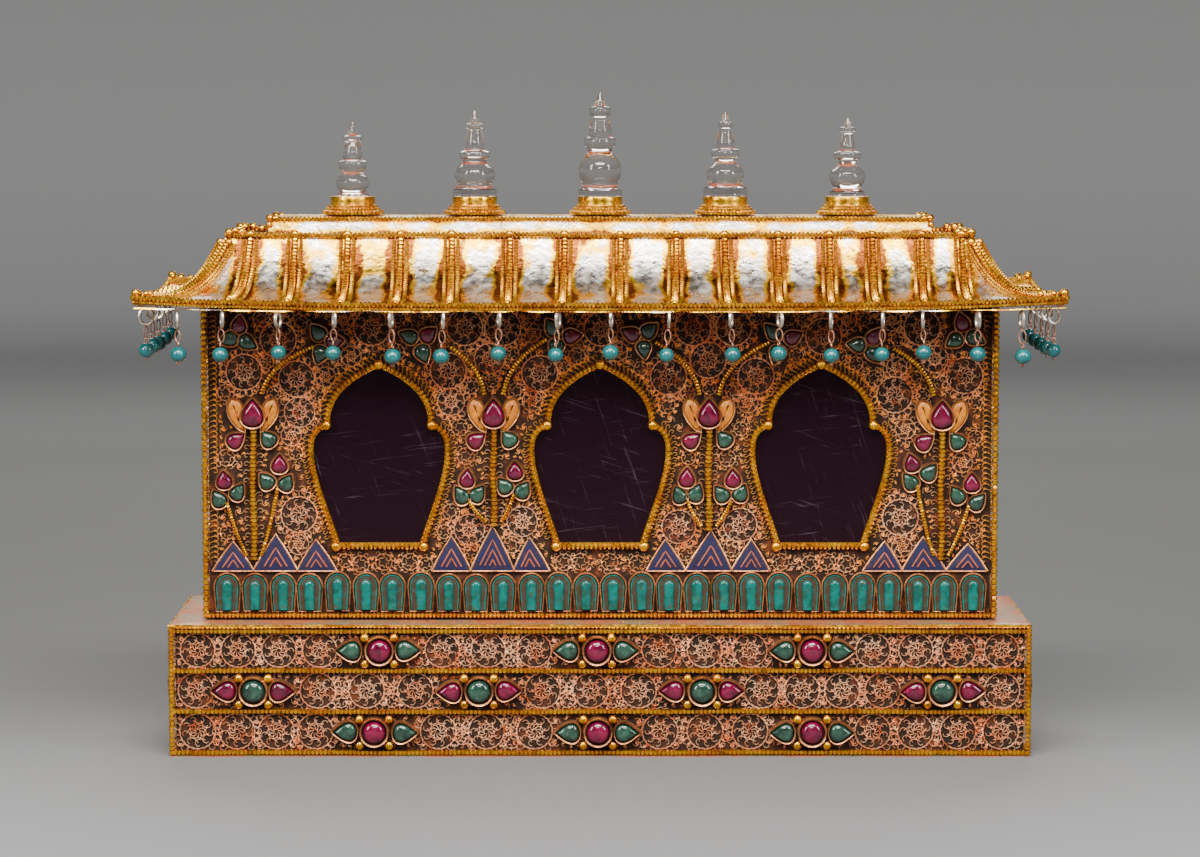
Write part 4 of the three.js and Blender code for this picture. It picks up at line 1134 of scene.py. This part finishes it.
for side, reach in zip(SIDES, (WALL_X, WALL_X, WALL_Y, WALL_Y)):
    rows, roundels, small = Shape(), Shape(), Shape()
    openings = []
    targets = list(wall_taken[side])
    for s in (-1, 1):
        post = np.array([(s * (reach - 0.2), PETAL_TOP + 1), (s * (reach - 0.2), WALL_TOP - 1)])
        keep = []
        for low in np.arange(PETAL_TOP + 1, WALL_TOP - 3, 1.9):
            spot = np.array([[s * (reach - 1.6), low]])
            if not targets or distances(spot, np.vstack(targets))[0] > 0.6:
                keep.append(low)
        starts = np.array([(s * (reach - 0.3), low) for low in keep])
        heading = np.full(len(keep), np.pi / 2 + s * 1.05)
        wires(rows, curls(starts, heading, 5.2, s * 4.7, 1.9, 8), wear=0.85)
        targets.append(thick_line(post, 3.1, 1.5))
    if side == "front":
        for name, x in WINDOWS.items():
            outline = window_outline(1.9) + [x, 0]
            openings.append(window_outline(1.5) + [x, 0])
            top = np.argmax(outline[:, 1])
            for part in (outline[top - 11:top + 1], outline[top:top + 12]):
                curl_row(rows, part, 1.75, 2.7, 0.9)
            for part in (outline[1:top - 12], outline[top + 12:-1]):
                curl_row(rows, part, 1.9, 2.1, 0.8)
            targets.append(thick_line(window_outline(2.0) + [x, 0], 1.7, 0.9, closed=True))
    for stem in gold_lines[side]:
        line = stem[:, :2]
        for hand in (-1, 1):
            spots = line + [hand * 1.0, 0]
            free = distances(spots + [hand * 1.5, 0], np.vstack(wall_taken[side])) > -0.6
            starts = spots[free][::3]
            many = len(starts)
            if many:
                heading = np.full(many, np.pi / 2 - hand * 0.85)
                wires(rows, curls(starts, heading, 4.4, -hand * 4.8, 1.9, 7), wear=0.35)
        targets.append(np.column_stack([line, np.full(len(line), 3.0)]))
    targets = np.vstack(targets)
    plain = side == "back"
    sizes = (8.2, 7.0, 6.0, 5.0, 4.0, 3.2, 2.5, 1.9) if plain else (
        6.4, 6.0, 5.4, 4.8, 4.2, 3.6, 3.0, 2.5, 2.0, 1.6, 1.25, 0.95, 0.7)
    area = ((-reach, PETAL_TOP - (0.2 if side == "front" else 0)), (reach, WALL_TOP - 1.5))
    circles = pack(area, targets, sizes, 0.62, openings)
    gold_near, steps = targets if side == "front" else None, 5 if plain else 7
    fill_with_filigree(roundels, [c for c in circles if c[2] >= 2.5], 51, steps, gold_near)
    fill_with_filigree(small, [c for c in circles if c[2] < 2.5], 52, steps, gold_near)
    dress(cabinet_wall(side), f"cabinet_filigree_{side}", [
        (kind, shape, FILIGREE, "filigree")
        for kind, shape in (("rows", rows), ("roundels", roundels), ("curls", small))], 80)

# Small lapis drops near the top and foot of each side wall's front edge

for side in ("left", "right"):
    drops, metal = Shape(), Shape()
    hand = 1 if side == "left" else -1
    for up, aim in ((156.0, 60), (149.6, 200), (79.5, 90)):
        set_drop(drops, metal, (hand * 19.6, up), aim, 5.6, 4.4, 1.6)
    dress(cabinet_wall(side), "side", [
        (f"drops_{side}", drops, LAPIS, "lapis"), (f"bezels_{side}", metal, BEZEL, "gilt")], 50)


# Roof: hammered silver over a flared slope, with a soffit, a lip and an inner skin

# Places of the ribs across a long side at the crest and at the eave, and across a short side
RIB_TOPS = np.array([-125.2, -109.4, -90.5, -71.5, -53.2, -32.4, -12.8, 7.3, 27.3, 44.6, 63.8, 82.2, 97.5,
                     115.3, 129.6])
RIB_FEET = np.array([-130.3, -109.7, -91.0, -71.7, -52.8, -32.4, -13.4, 6.9, 26.1, 45.2, 63.2, 81.2, 97.1,
                     113.9, 129.7])
END_RIBS = np.array([-18.2, 0.3, 18.6])
FRONT_STEPS, END_STEPS = 146, 40


def reach_x(down):
    return CREST_X + (EAVE_X - CREST_X) * down


def reach_y(down):
    return CREST_Y + (EAVE_Y - CREST_Y) * down


def slope_level(down, share):
    """The height of the roof's skin, from the crest at 0 to the eave at 1 and across its side."""
    return EAVE_TOP + CREST_RISE * (1 - down) ** 3.2 + 2.6 * np.abs(share) ** 4 * down ** 2


def rib_places(side, down):
    if side in ("left", "right"):
        return END_RIBS
    tops, feet = (RIB_TOPS, RIB_FEET) if side == "front" else (-RIB_TOPS[::-1], -RIB_FEET[::-1])
    return tops + (feet - tops) * down


def roof_ring(down, dent=1.0):
    """One ring of the roof's skin with its values for wear and painted shade, anticlockwise from the front
    left corner.
    """
    points, wear = [], []
    for side, turn_x, turn_y, steps in (("front", 1, 1, FRONT_STEPS), ("right", 1, 1, END_STEPS),
                                        ("back", -1, -1, FRONT_STEPS), ("left", -1, -1, END_STEPS)):
        share = np.linspace(-1, 1, steps, endpoint=False)
        half_across = reach_x(down) if side in ("front", "back") else reach_y(down)
        across = share * half_across
        away = reach_y(down) if side in ("front", "back") else reach_x(down)
        places = rib_places(side, down)
        nearest = np.abs(across[:, None] - places[None]).min(1)
        pillow = np.clip((nearest - 2.4) / 6.5, 0, 1)
        inner = dent * np.sin(np.pi * np.clip(down, 0, 1)) ** 0.6
        x = across if side in ("front", "back") else np.full(steps, away)
        y = np.full(steps, -away) if side in ("front", "back") else across
        x, y = x * turn_x, y * turn_y
        hammered = 0.22 * lumps(x, y, 5.2, 3) + 0.2 * lumps(x, y, 2.6, 4)
        rise = inner * (0.45 * np.sin(pillow * np.pi / 2) + hammered)
        points.append(np.stack([x, y, slope_level(down, share) + rise], 1))
        # Right along the ribs the value is highest, where the silver is darkened as painted shade; a little
        # further out it is gilded.
        border = np.clip(1.12 - (nearest - 2.9) / 3.1, 0, 1.1)
        ends = np.clip((abs(down - 0.42) - 0.26) / 0.26, 0, 1) * 0.62
        wear.append(np.clip(np.maximum(border, ends) + 0.22 * lumps(x, y, 4.5, 6), 0, 1))
    return np.concatenate(points), np.concatenate(wear)


def level_ring(half_x, half_y, up):
    """A level rectangle with the same number of points on each side as a ring of the roof."""
    counts = ((1, 1, FRONT_STEPS, 0), (1, 1, END_STEPS, 1), (-1, -1, FRONT_STEPS, 0), (-1, -1, END_STEPS, 1))
    parts = []
    for turn_x, turn_y, steps, end in counts:
        share = np.linspace(-1, 1, steps, endpoint=False)
        x = np.full(steps, half_x) if end else share * half_x
        y = share * half_y if end else np.full(steps, -half_y)
        parts.append(np.stack([x * turn_x, y * turn_y, np.full(steps, up)], 1))
    return np.concatenate(parts)


rings, wears = [], []


def roof_row(points, wear=0.5):
    rings.append(points)
    wears.append(np.broadcast_to(wear, len(points)))


roof_row(level_ring(40, 6, 184.7))
roof_row(level_ring(131.6, 21.2, 184.7))
for down in (0.06, 0.15, 0.3, 0.5):
    roof_row(roof_ring(down, 0)[0] * [0.992, 0.965, 1] + [0, 0, -1.5])
roof_row(level_ring(147, 39.5, 163.2))
roof_row(level_ring(137.8, 20.3, 163.2))
roof_row(level_ring(137.8, 20.3, 158.1))
roof_row(level_ring(138.9, 21.4, 158.1))
# The underside of the eave gets a higher value, darkened in places as painted shade.
roof_row(level_ring(138.9, 21.4, 161.95), 0.7)
eave = roof_ring(1.0)[0]
flat_eave = eave * [1, 1, 0] + [0, 0, 161.95]
for share in (0.3, 0.65, 0.9):
    roof_row(level_ring(138.9, 21.4, 161.95) * (1 - share) + (flat_eave * [0.998, 0.996, 1]) * share
             + np.outer((eave[:, 2] - EAVE_TOP) * share ** 2, [0, 0, 1]), 0.7)
roof_row(eave * [0.999, 0.998, 1] - [0, 0, 1.7])
roof_row(eave - [0, 0, 0.9], 0.6)
for down in 1 - np.linspace(0, 1, 34):
    roof_row(*roof_ring(down))
roof_row(level_ring(128, 19, 186.0))
roof_row(level_ring(60, 8, 186.0))

roof = Shape()
stacked(roof, rings, wears, cap_foot=True)
piece("roof_silver", roof, SILVER, ["roof"], angle=42)


# Beaded wires and balls on the roof

def side_share(loop, half_x, half_y):
    """How far along its side each point of a rectangle lies, from -1 to 1."""
    x, y = loop[:, 0] / half_x, loop[:, 1] / half_y
    return np.where(np.abs(x) > np.abs(y), y, x)


def slope_path(side, top, foot, lift, start=0.02, end=0.955, steps=26):
    """A path down one side of the roof, raised above its skin."""
    down = np.linspace(start, end, steps)
    across = top + (foot - top) * down
    long_side = side in ("front", "back")
    half = reach_x(down) if long_side else reach_y(down)
    away = reach_y(down) if long_side else reach_x(down)
    sign = 1 if side in ("front", "right") else -1
    plan = [across, -away] if long_side else [away, across]
    return np.stack([*plan, slope_level(down, across / half) + lift], 1) * [sign, sign, 1]


def bead_ball(shape, x, y, z, radius):
    ball(shape, (x, y, z), radius * rng.uniform(0.93, 1.05), 12, 0.9)


ribs, roof_wires, roof_balls = Shape(), Shape(), Shape()
for side in SIDES:
    for top, foot in zip(rib_places(side, 0.0), rib_places(side, 1.0)):
        beaded(ribs, slope_path(side, top, foot, 1.05), 1.5, 2.5, 6 if side == "back" else 7, (0, 0, 1),
               fine=side != "back")
        for offset in (-2.3, 2.3):
            beaded(ribs, slope_path(side, top + offset, foot + offset, 0.65), 1.2, 1.7, 5, (0, 0, 1),
                   fine=False)
        peak = slope_path(side, top, foot, 0.0, 0.0, 1.0, 12)
        bead_ball(roof_balls, *(peak[0] + [0, 0, 1.25]), 1.65)
        bead_ball(roof_balls, *(peak[-2] * 0.12 + peak[-1] * 0.88 + [0, 0, 1.0]), 1.2)
# Wires along a hip: place aside, height above the skin, width and pitch of the beads
HIP_WIRES = [(-1.15, 1.25, 2.3, 1.4), (1.15, 1.25, 2.3, 1.4), (-3.2, 0.9, 1.6, 1.1), (3.2, 0.9, 1.6, 1.1),
             (-4.8, 1.0, 1.5, 1.1), (4.8, 1.0, 1.5, 1.1)]
# Balls along a hip: share of the way down, place aside and radius
HIP_BALLS = [(1.0, 0, 1.7), (0.93, -1.9, 1.25), (0.93, 1.9, 1.25), (0.86, 0.3, 1.45), (0.8, -2.2, 1.2),
             (0.0, 0, 1.7), (0.05, -2.2, 1.5), (0.05, 2.2, 1.5)]
for sign_x, sign_y in CORNERS:
    down = np.linspace(0.03, 0.97, 30)
    corner = np.stack([sign_x * reach_x(down), sign_y * reach_y(down), slope_level(down, 1.0)], 1)
    across = unit(np.array([-sign_y * (EAVE_Y - CREST_Y), sign_x * (EAVE_X - CREST_X), 0.0]))
    for offset, lift, width, pitch in HIP_WIRES:
        line = corner + across * (offset * np.clip(1.9 - 1.15 * down, 0.1, 1))[:, None] + [0, 0, lift]
        line[:, 2] -= 0.22 * abs(offset)
        line = np.clip(line, (-163.2, -57.9, 0), (163.2, 57.9, 300))
        beaded(ribs, line, pitch, width, 6, (0, 0, 1), fine=width > 2 and sign_y < 0)
    for place, aside, radius in HIP_BALLS:
        spot = np.array([sign_x * reach_x(place), sign_y * reach_y(place), slope_level(place, 1.0) + 1.9])
        bead_ball(roof_balls, *(spot + across * aside), radius)
    for x, y, z in ((131.0, 20.6, 188.3), (128.4, 22.2, 188.1), (130.9, 17.6, 188.2)):
        bead_ball(roof_balls, sign_x * x, sign_y * y, z, 1.5)

for down, lift, out, diameter, pitch in ((1.0, 0.3, 1.1, 1.9, 1.48), (1.0, -1.25, 0.9, 1.3, 1.2),
                                         (0.0, 0.85, 0.7, 2.2, 1.5)):
    half_x, half_y = reach_x(down) + out, reach_y(down) + out
    loop = rectangle(half_x, half_y, 0, 1.6, 0.15, 40)
    loop[:, 2] += slope_level(down, side_share(loop, half_x, half_y)) + lift
    beaded(roof_wires, loop, pitch, diameter, 6, (0, 0, 1), closed=True)
piece("roof_ribs", ribs, GILT, ["roof_wirework"])
piece("roof_wires", roof_wires, GILT)
piece("roof_balls", roof_balls, GILT)


# Pendants: a thin silver edge strip with rings, copper links and turquoise beads

def tube_ring(shape, centre, radius, wire, axis_x, axis_y, sides, steps, wear):
    """A ring of wire round a centre. Its two axes may differ in length."""
    angles = (np.arange(steps) * 2 * np.pi / steps)[:, None]
    axis_x, axis_y = np.array(axis_x, float), np.array(axis_y, float)
    path = np.asarray(centre) + radius * (np.cos(angles) * axis_x + np.sin(angles) * axis_y)
    sweep(shape, path, wire / 2, sides, np.cross(axis_x, axis_y), closed=True, wear=wear)


strip, rings_silver, links, beads = Shape(), Shape(), Shape(), Shape()
loop = rectangle(163.2, 57.9, 0, 1.5)
lift = 1.2 * np.abs(np.clip(side_share(loop, 163, 58), -1, 1)) ** 5
dents = 0.4 * lumps(loop[:, 0], loop[:, 1], 7, 12)
outer = loop * [1, 1, 0] + np.column_stack([np.zeros((len(loop), 2)), 161.9 + lift])
low = loop * [1.001, 1.004, 0] + np.column_stack([np.zeros((len(loop), 2)), 161.5 + dents * 0.7 + lift])
inside, back = low * [0.996, 0.985, 1], outer * [0.996, 0.985, 1]
sheet_rows = np.asarray([back, inside, low, outer, back])
strip.add(sheet_rows.reshape(-1, 3), [grid_faces(5, len(loop), wrap=True)],
          np.tile(0.42 + 0.3 * lumps(loop[:, 0], loop[:, 1], 5, 13), 5))


def pendant(x, y, out):
    """A ring, a bent copper link and a bead, hanging from the edge strip at a place."""
    out = np.array(out, float)
    across = np.array([-out[1], out[0], 0])
    yaw = rng.uniform(-0.35, 0.35)
    flat = out * math.cos(yaw) + across * math.sin(yaw)
    head = np.array([x, y, 161.3])
    radius = 2.8 + rng.uniform(-0.15, 0.15)
    centre = head - [0, 0, radius - 0.2] - out * 1.7
    tube_ring(rings_silver, centre, radius, 1.25, flat * 0.8, (0, 0, 1), 7, 18, 0.15)
    foot = centre - [0, 0, radius + 0.2]
    drift = across * rng.uniform(-0.9, 0.9)
    bead_centre = np.array([x, y, 146.4 + rng.uniform(-0.9, 0.9)]) - out * 1.9 + drift
    top = bead_centre + [0, 0, 2.9]
    size = (foot[2] - top[2]) / 2 * 0.62
    middle = (foot + top) / 2 + [0, 0, 0.5]
    tube_ring(links, middle, size * 1.1, 0.5, across * 0.45 + flat * 0.3, (0, 0, 1), 5, 16, 0.5)
    tube_ring(links, top + [0, 0, 0.6], 0.85, 0.5, flat * 0.9, (0, 0, 1), 5, 10, 0.3)
    sweep(links, [bead_centre + [0, 0, 3.1], bead_centre - [0, 0, 3.2]], 0.3, 5, (0, 1, 0))
    tube_ring(links, bead_centre - [0, 0, 3.15], 0.5, 0.45, across, (0, 0, 1), 5, 8, 0.3)
    ball(beads, bead_centre, 2.85 * rng.uniform(0.96, 1.03), 18, 0.95)


FRONT_PENDANTS = [-148.3, -132.5, -112.9, -93.2, -73.3, -55, -35.4, -14.7, 3.9, 24.2, 45.9, 63.1, 81, 99.2,
                  113.2, 132.5, 147.9]
for x in FRONT_PENDANTS:
    pendant(x, -57.9, (0, -1, 0))
for k in range(-8, 9):
    pendant(k * 18.55 + rng.uniform(-1, 1), 57.9, (0, 1, 0))
for side in (-1, 1):
    for k in range(-2, 3):
        pendant(side * 163.1, k * 18.55 + rng.uniform(-1, 1), (side, 0, 0))
piece("eave_strip", strip, SILVER, ["eave_pendants"])
piece("pendant_rings", rings_silver, RING_SILVER)
piece("pendant_links", links, LINK_COPPER)
piece("pendant_beads", beads, TURQUOISE)

# Ridge: a low silver box with a beaded wire round its top

ridge = Shape()
rows = []
for half_x, half_y, up in ((RIDGE_X, RIDGE_Y, 186.4), (119.4, 12.9, 189.4), (118.6, 12.1, 192.6),
                           (116, 11, 192.9), (60, 5, 192.95)):
    loop = level_ring(half_x, half_y, up)
    loop[:, :2] += 0.18 * np.column_stack([lumps(loop[:, 0], loop[:, 1] + up, 6, 14),
                                           lumps(loop[:, 0] + up, loop[:, 1], 6, 15)])
    rows.append(loop)
# The ridge's foot on the roof gets a high value, darkened as painted shade.
stacked(ridge, rows, [0.95, 0.15, 0.6, 0.5, 0.4], cap_foot=True)
piece("ridge_silver", ridge, SILVER, ["ridge"], angle=38)

edging = Shape()
beaded(edging, rectangle(119.3, 12.8, 192.1, 1.6, 0.12, 44), 1.45, 1.9, 6, (0, 0, 1), closed=True)
for sign_x, sign_y in CORNERS:
    for x, y, z, radius in ((119.1, 12.6, 192.6, 1.5), (117.0, 12.2, 192.4, 1.4), (118.8, 10.2, 192.4, 1.4),
                            (119.4, 12.9, 190.2, 1.3)):
        bead_ball(edging, sign_x * x, sign_y * y, z, radius)
piece("ridge_wire", edging, GILT, ["ridge_edging"])

# Finial bases: two beaded rings and a gilt collar

FINIALS = [-90, -45.6, 0, 45.6, 90]
for index, x in enumerate(FINIALS):
    collar, metal = Shape(), Shape()
    # The band under the beaded rings, and the collar's foot and inner lip, get high values, darkened as
    # painted shade.
    turned(metal, [(9.4, 193.5), (9.0, 196.3)], (x, 0, 0), 40, 0.8)
    for radius, up, diameter, pitch in (
            (10.5, 194.2, 1.8, 1.4), (9.4, 195.4, 1.3, 1.1), (8.6, 196.4, 1.3, 1.1)):
        angles = np.arange(48) * 2 * np.pi / 48
        loop = np.stack([x + radius * np.cos(angles), radius * np.sin(angles), np.full(48, up)], 1)
        beaded(metal, loop, pitch, diameter, 5, (0, 0, 1), closed=True)
    profile = [(8.25, 196.7), (8.2, 197.0), (8.1, 198.4), (8.2, 199.5), (8.05, 199.9), (7.2, 199.95),
               (6.6, 199.6), (2.0, 199.5)]
    turned(collar, profile, (x, 0, 0), 40, [0.8, 0.4, 0.0, 0.0, 0.0, 0.5, 1.0, 1.0])
    piece(f"finial_rings_{index + 1}", metal, GILT, [f"finial_base_{index + 1}"])
    piece(f"finial_collar_{index + 1}", collar, GILT_PLATE)

# Crystals: turned rock crystal, each a little different, with pigment in its grooves

# Each profile in pixels of the photograph: the row of its tip, then rows going down with half widths
PROFILES = [
    (122.6, [(136.4, 4.6), (137.3, 8.6), (138, 9.9), (141.4, 9.9), (142.4, 8.4), (144.4, 7.0),
     (149, 8.6), (155.9, 10.3), (160, 9.9), (162.6, 9.0), (163.8, 13.6), (165, 14.6), (170.8, 14.3),
     (172.7, 12.6), (174.8, 9.8), (177, 10.4), (180.5, 15.0), (185.7, 17.3), (190.5, 16.6), (194, 14.2),
     (196.6, 13.0), (197.8, 15.8), (200, 16.2)]),
    (110.0, [(123.6, 4.8), (124.6, 8.0), (125.5, 8.9), (128.5, 8.7), (129.6, 7.6), (131, 6.4),
     (139, 8.3), (147, 9.8), (151, 9.4), (152.8, 14.2), (154, 15.2), (158.4, 15.2), (160, 13.2),
     (163.9, 11), (166.4, 13.5), (170, 18.4), (174.6, 20.4), (180, 20.2), (187, 17.4), (190, 17.8),
     (191.6, 22.2), (198, 22.6)]),
    (92.1, [(106.0, 4.9), (107.4, 9.2), (109.2, 10.7), (114.4, 10.7), (116, 9.6), (118.5, 8.5),
     (126, 10.4), (134, 12), (137, 11.4), (138.8, 14.8), (140, 15.6), (146.4, 15.5), (148.4, 13.6),
     (152.9, 11.2), (157, 14.4), (163, 19.6), (169.8, 21.4), (177, 20.8), (187.7, 17.4), (189.8, 18.6),
     (191, 22), (197, 22.3)]),
    (112.0, [(122.4, 4.4), (123.4, 6.8), (124.6, 7.6), (127.4, 7.5), (128.6, 6.6), (131, 6.2),
     (139, 8.2), (146, 9.8), (149.6, 9.5), (151, 13.4), (152.2, 14.4), (157.8, 14.3), (159.6, 12.2),
     (163, 9.4), (166, 12.4), (170, 17.4), (174, 19.2), (180, 18.8), (184.5, 17), (188, 17.4),
     (189.6, 22.4), (198, 23)]),
    (117.7, [(127, 3.8), (127.9, 7.2), (129, 8.2), (131.6, 8.1), (132.8, 6.6), (134.4, 5.1), (141, 6.6),
     (147.6, 8.1), (150.8, 8.0), (152.4, 12.8), (153.6, 14), (158.6, 13.9), (160.2, 11.4), (164.3, 7.7),
     (168, 12), (172, 17.4), (176.4, 18.7), (182, 17.4), (188.4, 13.4), (190.6, 13.4), (192.2, 18),
     (196, 18.3)])]
# The largest radius of each crystal and the level of its tip, in millimetres
CRYSTAL_BOXES = [(6.2, 227.19), (8.2, 231.61), (8.2, 238.0), (8.2, 230.89), (6.8, 228.81)]
CRYSTAL_FOOT = 200.2
for index, (widest, tip_level) in enumerate(CRYSTAL_BOXES):
    tip, rows = PROFILES[index]
    x = FINIALS[index]
    last = rows[-1][0]
    scale_up = (tip_level - 0.1 - CRYSTAL_FOOT) / (last - tip)
    scale_out = (widest - 0.05) / max(half for _, half in rows)
    profile = [(half * scale_out, CRYSTAL_FOOT + (last - row) * scale_up) for row, half in rows[::-1]]
    shoulder_radius, shoulder_level = profile[-1]
    spire = [(shoulder_radius * (1 - t) ** 0.85 + 0.12, lerp(shoulder_level, tip_level - 0.1, t))
             for t in (0.12, 0.35, 0.6, 0.82, 0.95)]
    dense = np.array(profile + spire)
    marks = np.linspace(0, len(dense) - 1, len(dense) * 2 - 1)
    smooth = np.stack([np.interp(marks, np.arange(len(dense)), dense[:, k]) for k in (0, 1)], 1)
    body = Shape()
    turned(body, smooth, (x, 0, 0), 48)
    piece(f"crystal_clear_{index + 1}", body, CRYSTAL, [f"crystal_{index + 1}"], angle=50)
    stain = Shape()
    for pick in np.argsort(np.gradient(np.gradient(smooth[:, 0])))[-5:]:
        radius, up = smooth[pick]
        for start in rng.uniform(0, 2 * np.pi, 6):
            angles = start + np.linspace(0, rng.uniform(0.6, 1.9), 8)
            path = np.stack([x + (radius + 0.02) * np.cos(angles), (radius + 0.02) * np.sin(angles),
                             up + 0.12 * np.sin(angles * 5)], 1)
            sweep(stain, path, 0.27 * np.sin(np.linspace(0.3, np.pi - 0.3, 8)) + 0.03, 5, (0, 0, 1), wear=0.2)
    piece(f"crystal_pigment_{index + 1}", stain, INLAY)

# Floor, backdrop and soft studio light

floor_tone, floor_tree, floor_shader = material("floor_paper", 0.0, 0.8)
place = floor_tree.nodes.new("ShaderNodeTexCoord").outputs["Object"]
depth = floor_tree.nodes.new("ShaderNodeSeparateXYZ")
floor_tree.links.new(place, depth.inputs["Vector"])
away = floor_tree.nodes.new("ShaderNodeVectorMath")
away.operation = "LENGTH"
floor_tree.links.new(place, away.inputs[0])
# Painted light: the floor is painted lighter in front of the object and darker behind it, and the sweep is
# painted lighter again far out, where the lamps reach less.
painted_front_light = ramp(floor_tree, level(floor_tree, depth.outputs["Y"], -0.3, 0.3),
                 [(0.0, (0.19, 0.19, 0.192)), (0.23, (0.175, 0.175, 0.177)), (0.58, (0.105, 0.105, 0.105)),
                  (1.0, (0.088, 0.088, 0.088))])
painted_far_light = ramp(floor_tree, level(floor_tree, away.outputs["Value"], 0.0, 3.2),
                [(0.11, (0.083, 0.083, 0.083)), (0.33, (0.133, 0.133, 0.133)), (0.53, (0.30, 0.298, 0.30)),
                 (0.67, (0.54, 0.537, 0.538)), (0.78, (0.56, 0.557, 0.557)), (1.0, (0.40, 0.397, 0.396))])
painted_floor_light = blend(floor_tree, level(floor_tree, away.outputs["Value"], 0.3, 0.9), painted_front_light, painted_far_light)
floor_tree.links.new(painted_floor_light, floor_shader.inputs["Base Color"])
bump(floor_tree, floor_shader, noise(floor_tree, 900, 2), 0.03, 0.0004)
profile = [(0.4, 0.0), (1.0, 0.0), (1.9, 0.0)]
profile += [(1.9 + 1.2 * math.sin(a), 1.2 - 1.2 * math.cos(a)) for a in np.linspace(0.1, math.pi / 2, 14)]
profile += [(3.1, 2.8)]
around = np.arange(72) * 2 * np.pi / 72
sweep_points = np.array(
    [(r * math.cos(a), r * math.sin(a), z) for r, z in profile for a in around] + [(0, 0, 0)])
floor_faces = (grid_faces(len(profile), 72, wrap=True, flip=True).tolist()
               + fan(np.arange(72), len(sweep_points) - 1).tolist())
floor_mesh = bpy.data.meshes.new("floor")
floor_mesh.from_pydata(sweep_points.tolist(), [], floor_faces)
floor_mesh.polygons.foreach_set("use_smooth", np.ones(len(floor_mesh.polygons), bool))
floor_mesh.materials.append(floor_tone)
floor = bpy.data.objects.new("floor", floor_mesh)
bpy.context.scene.collection.objects.link(floor)


def soft_box(name, place, target, size, power, colour=(1, 1, 1)):
    """An area light turned to a point."""
    lamp = bpy.data.lights.new(name, "AREA")
    lamp.shape, lamp.size, lamp.size_y = "RECTANGLE", *size
    lamp.energy, lamp.color = power, colour
    made = bpy.data.objects.new(name, lamp)
    made.location = place
    aim = np.array(place) - np.array(target)
    lean, turn = math.acos(aim[2] / np.linalg.norm(aim)), math.atan2(aim[1], aim[0]) + math.pi / 2
    made.rotation_euler = (lean, 0, turn)
    bpy.context.scene.collection.objects.link(made)


soft_box("light_top", (0.0, -0.75, 0.95), (0, 0, 0.14), (0.9, 0.3), 34, (1.0, 0.985, 0.96))
soft_box("light_left", (-1.1, -0.9, 0.7), (0, 0, 0.12), (0.25, 0.7), 17, (1.0, 0.98, 0.95))
soft_box("light_right", (1.1, -0.9, 0.7), (0, 0, 0.12), (0.25, 0.7), 15, (0.97, 0.985, 1.0))
soft_box("light_front", (0.0, -1.7, 0.75), (0, 0, 0.12), (0.5, 0.16), 9)
soft_box("light_back", (0.0, 1.1, 0.95), (0, 0, 0.12), (1.2, 0.4), 14, (1.0, 0.985, 0.96))

world = bpy.data.worlds.new("studio")
world.use_nodes = True
world.node_tree.nodes["Background"].inputs["Color"].default_value = (0.9, 0.92, 0.95, 1)
world.node_tree.nodes["Background"].inputs["Strength"].default_value = 0.1
bpy.context.scene.world = world
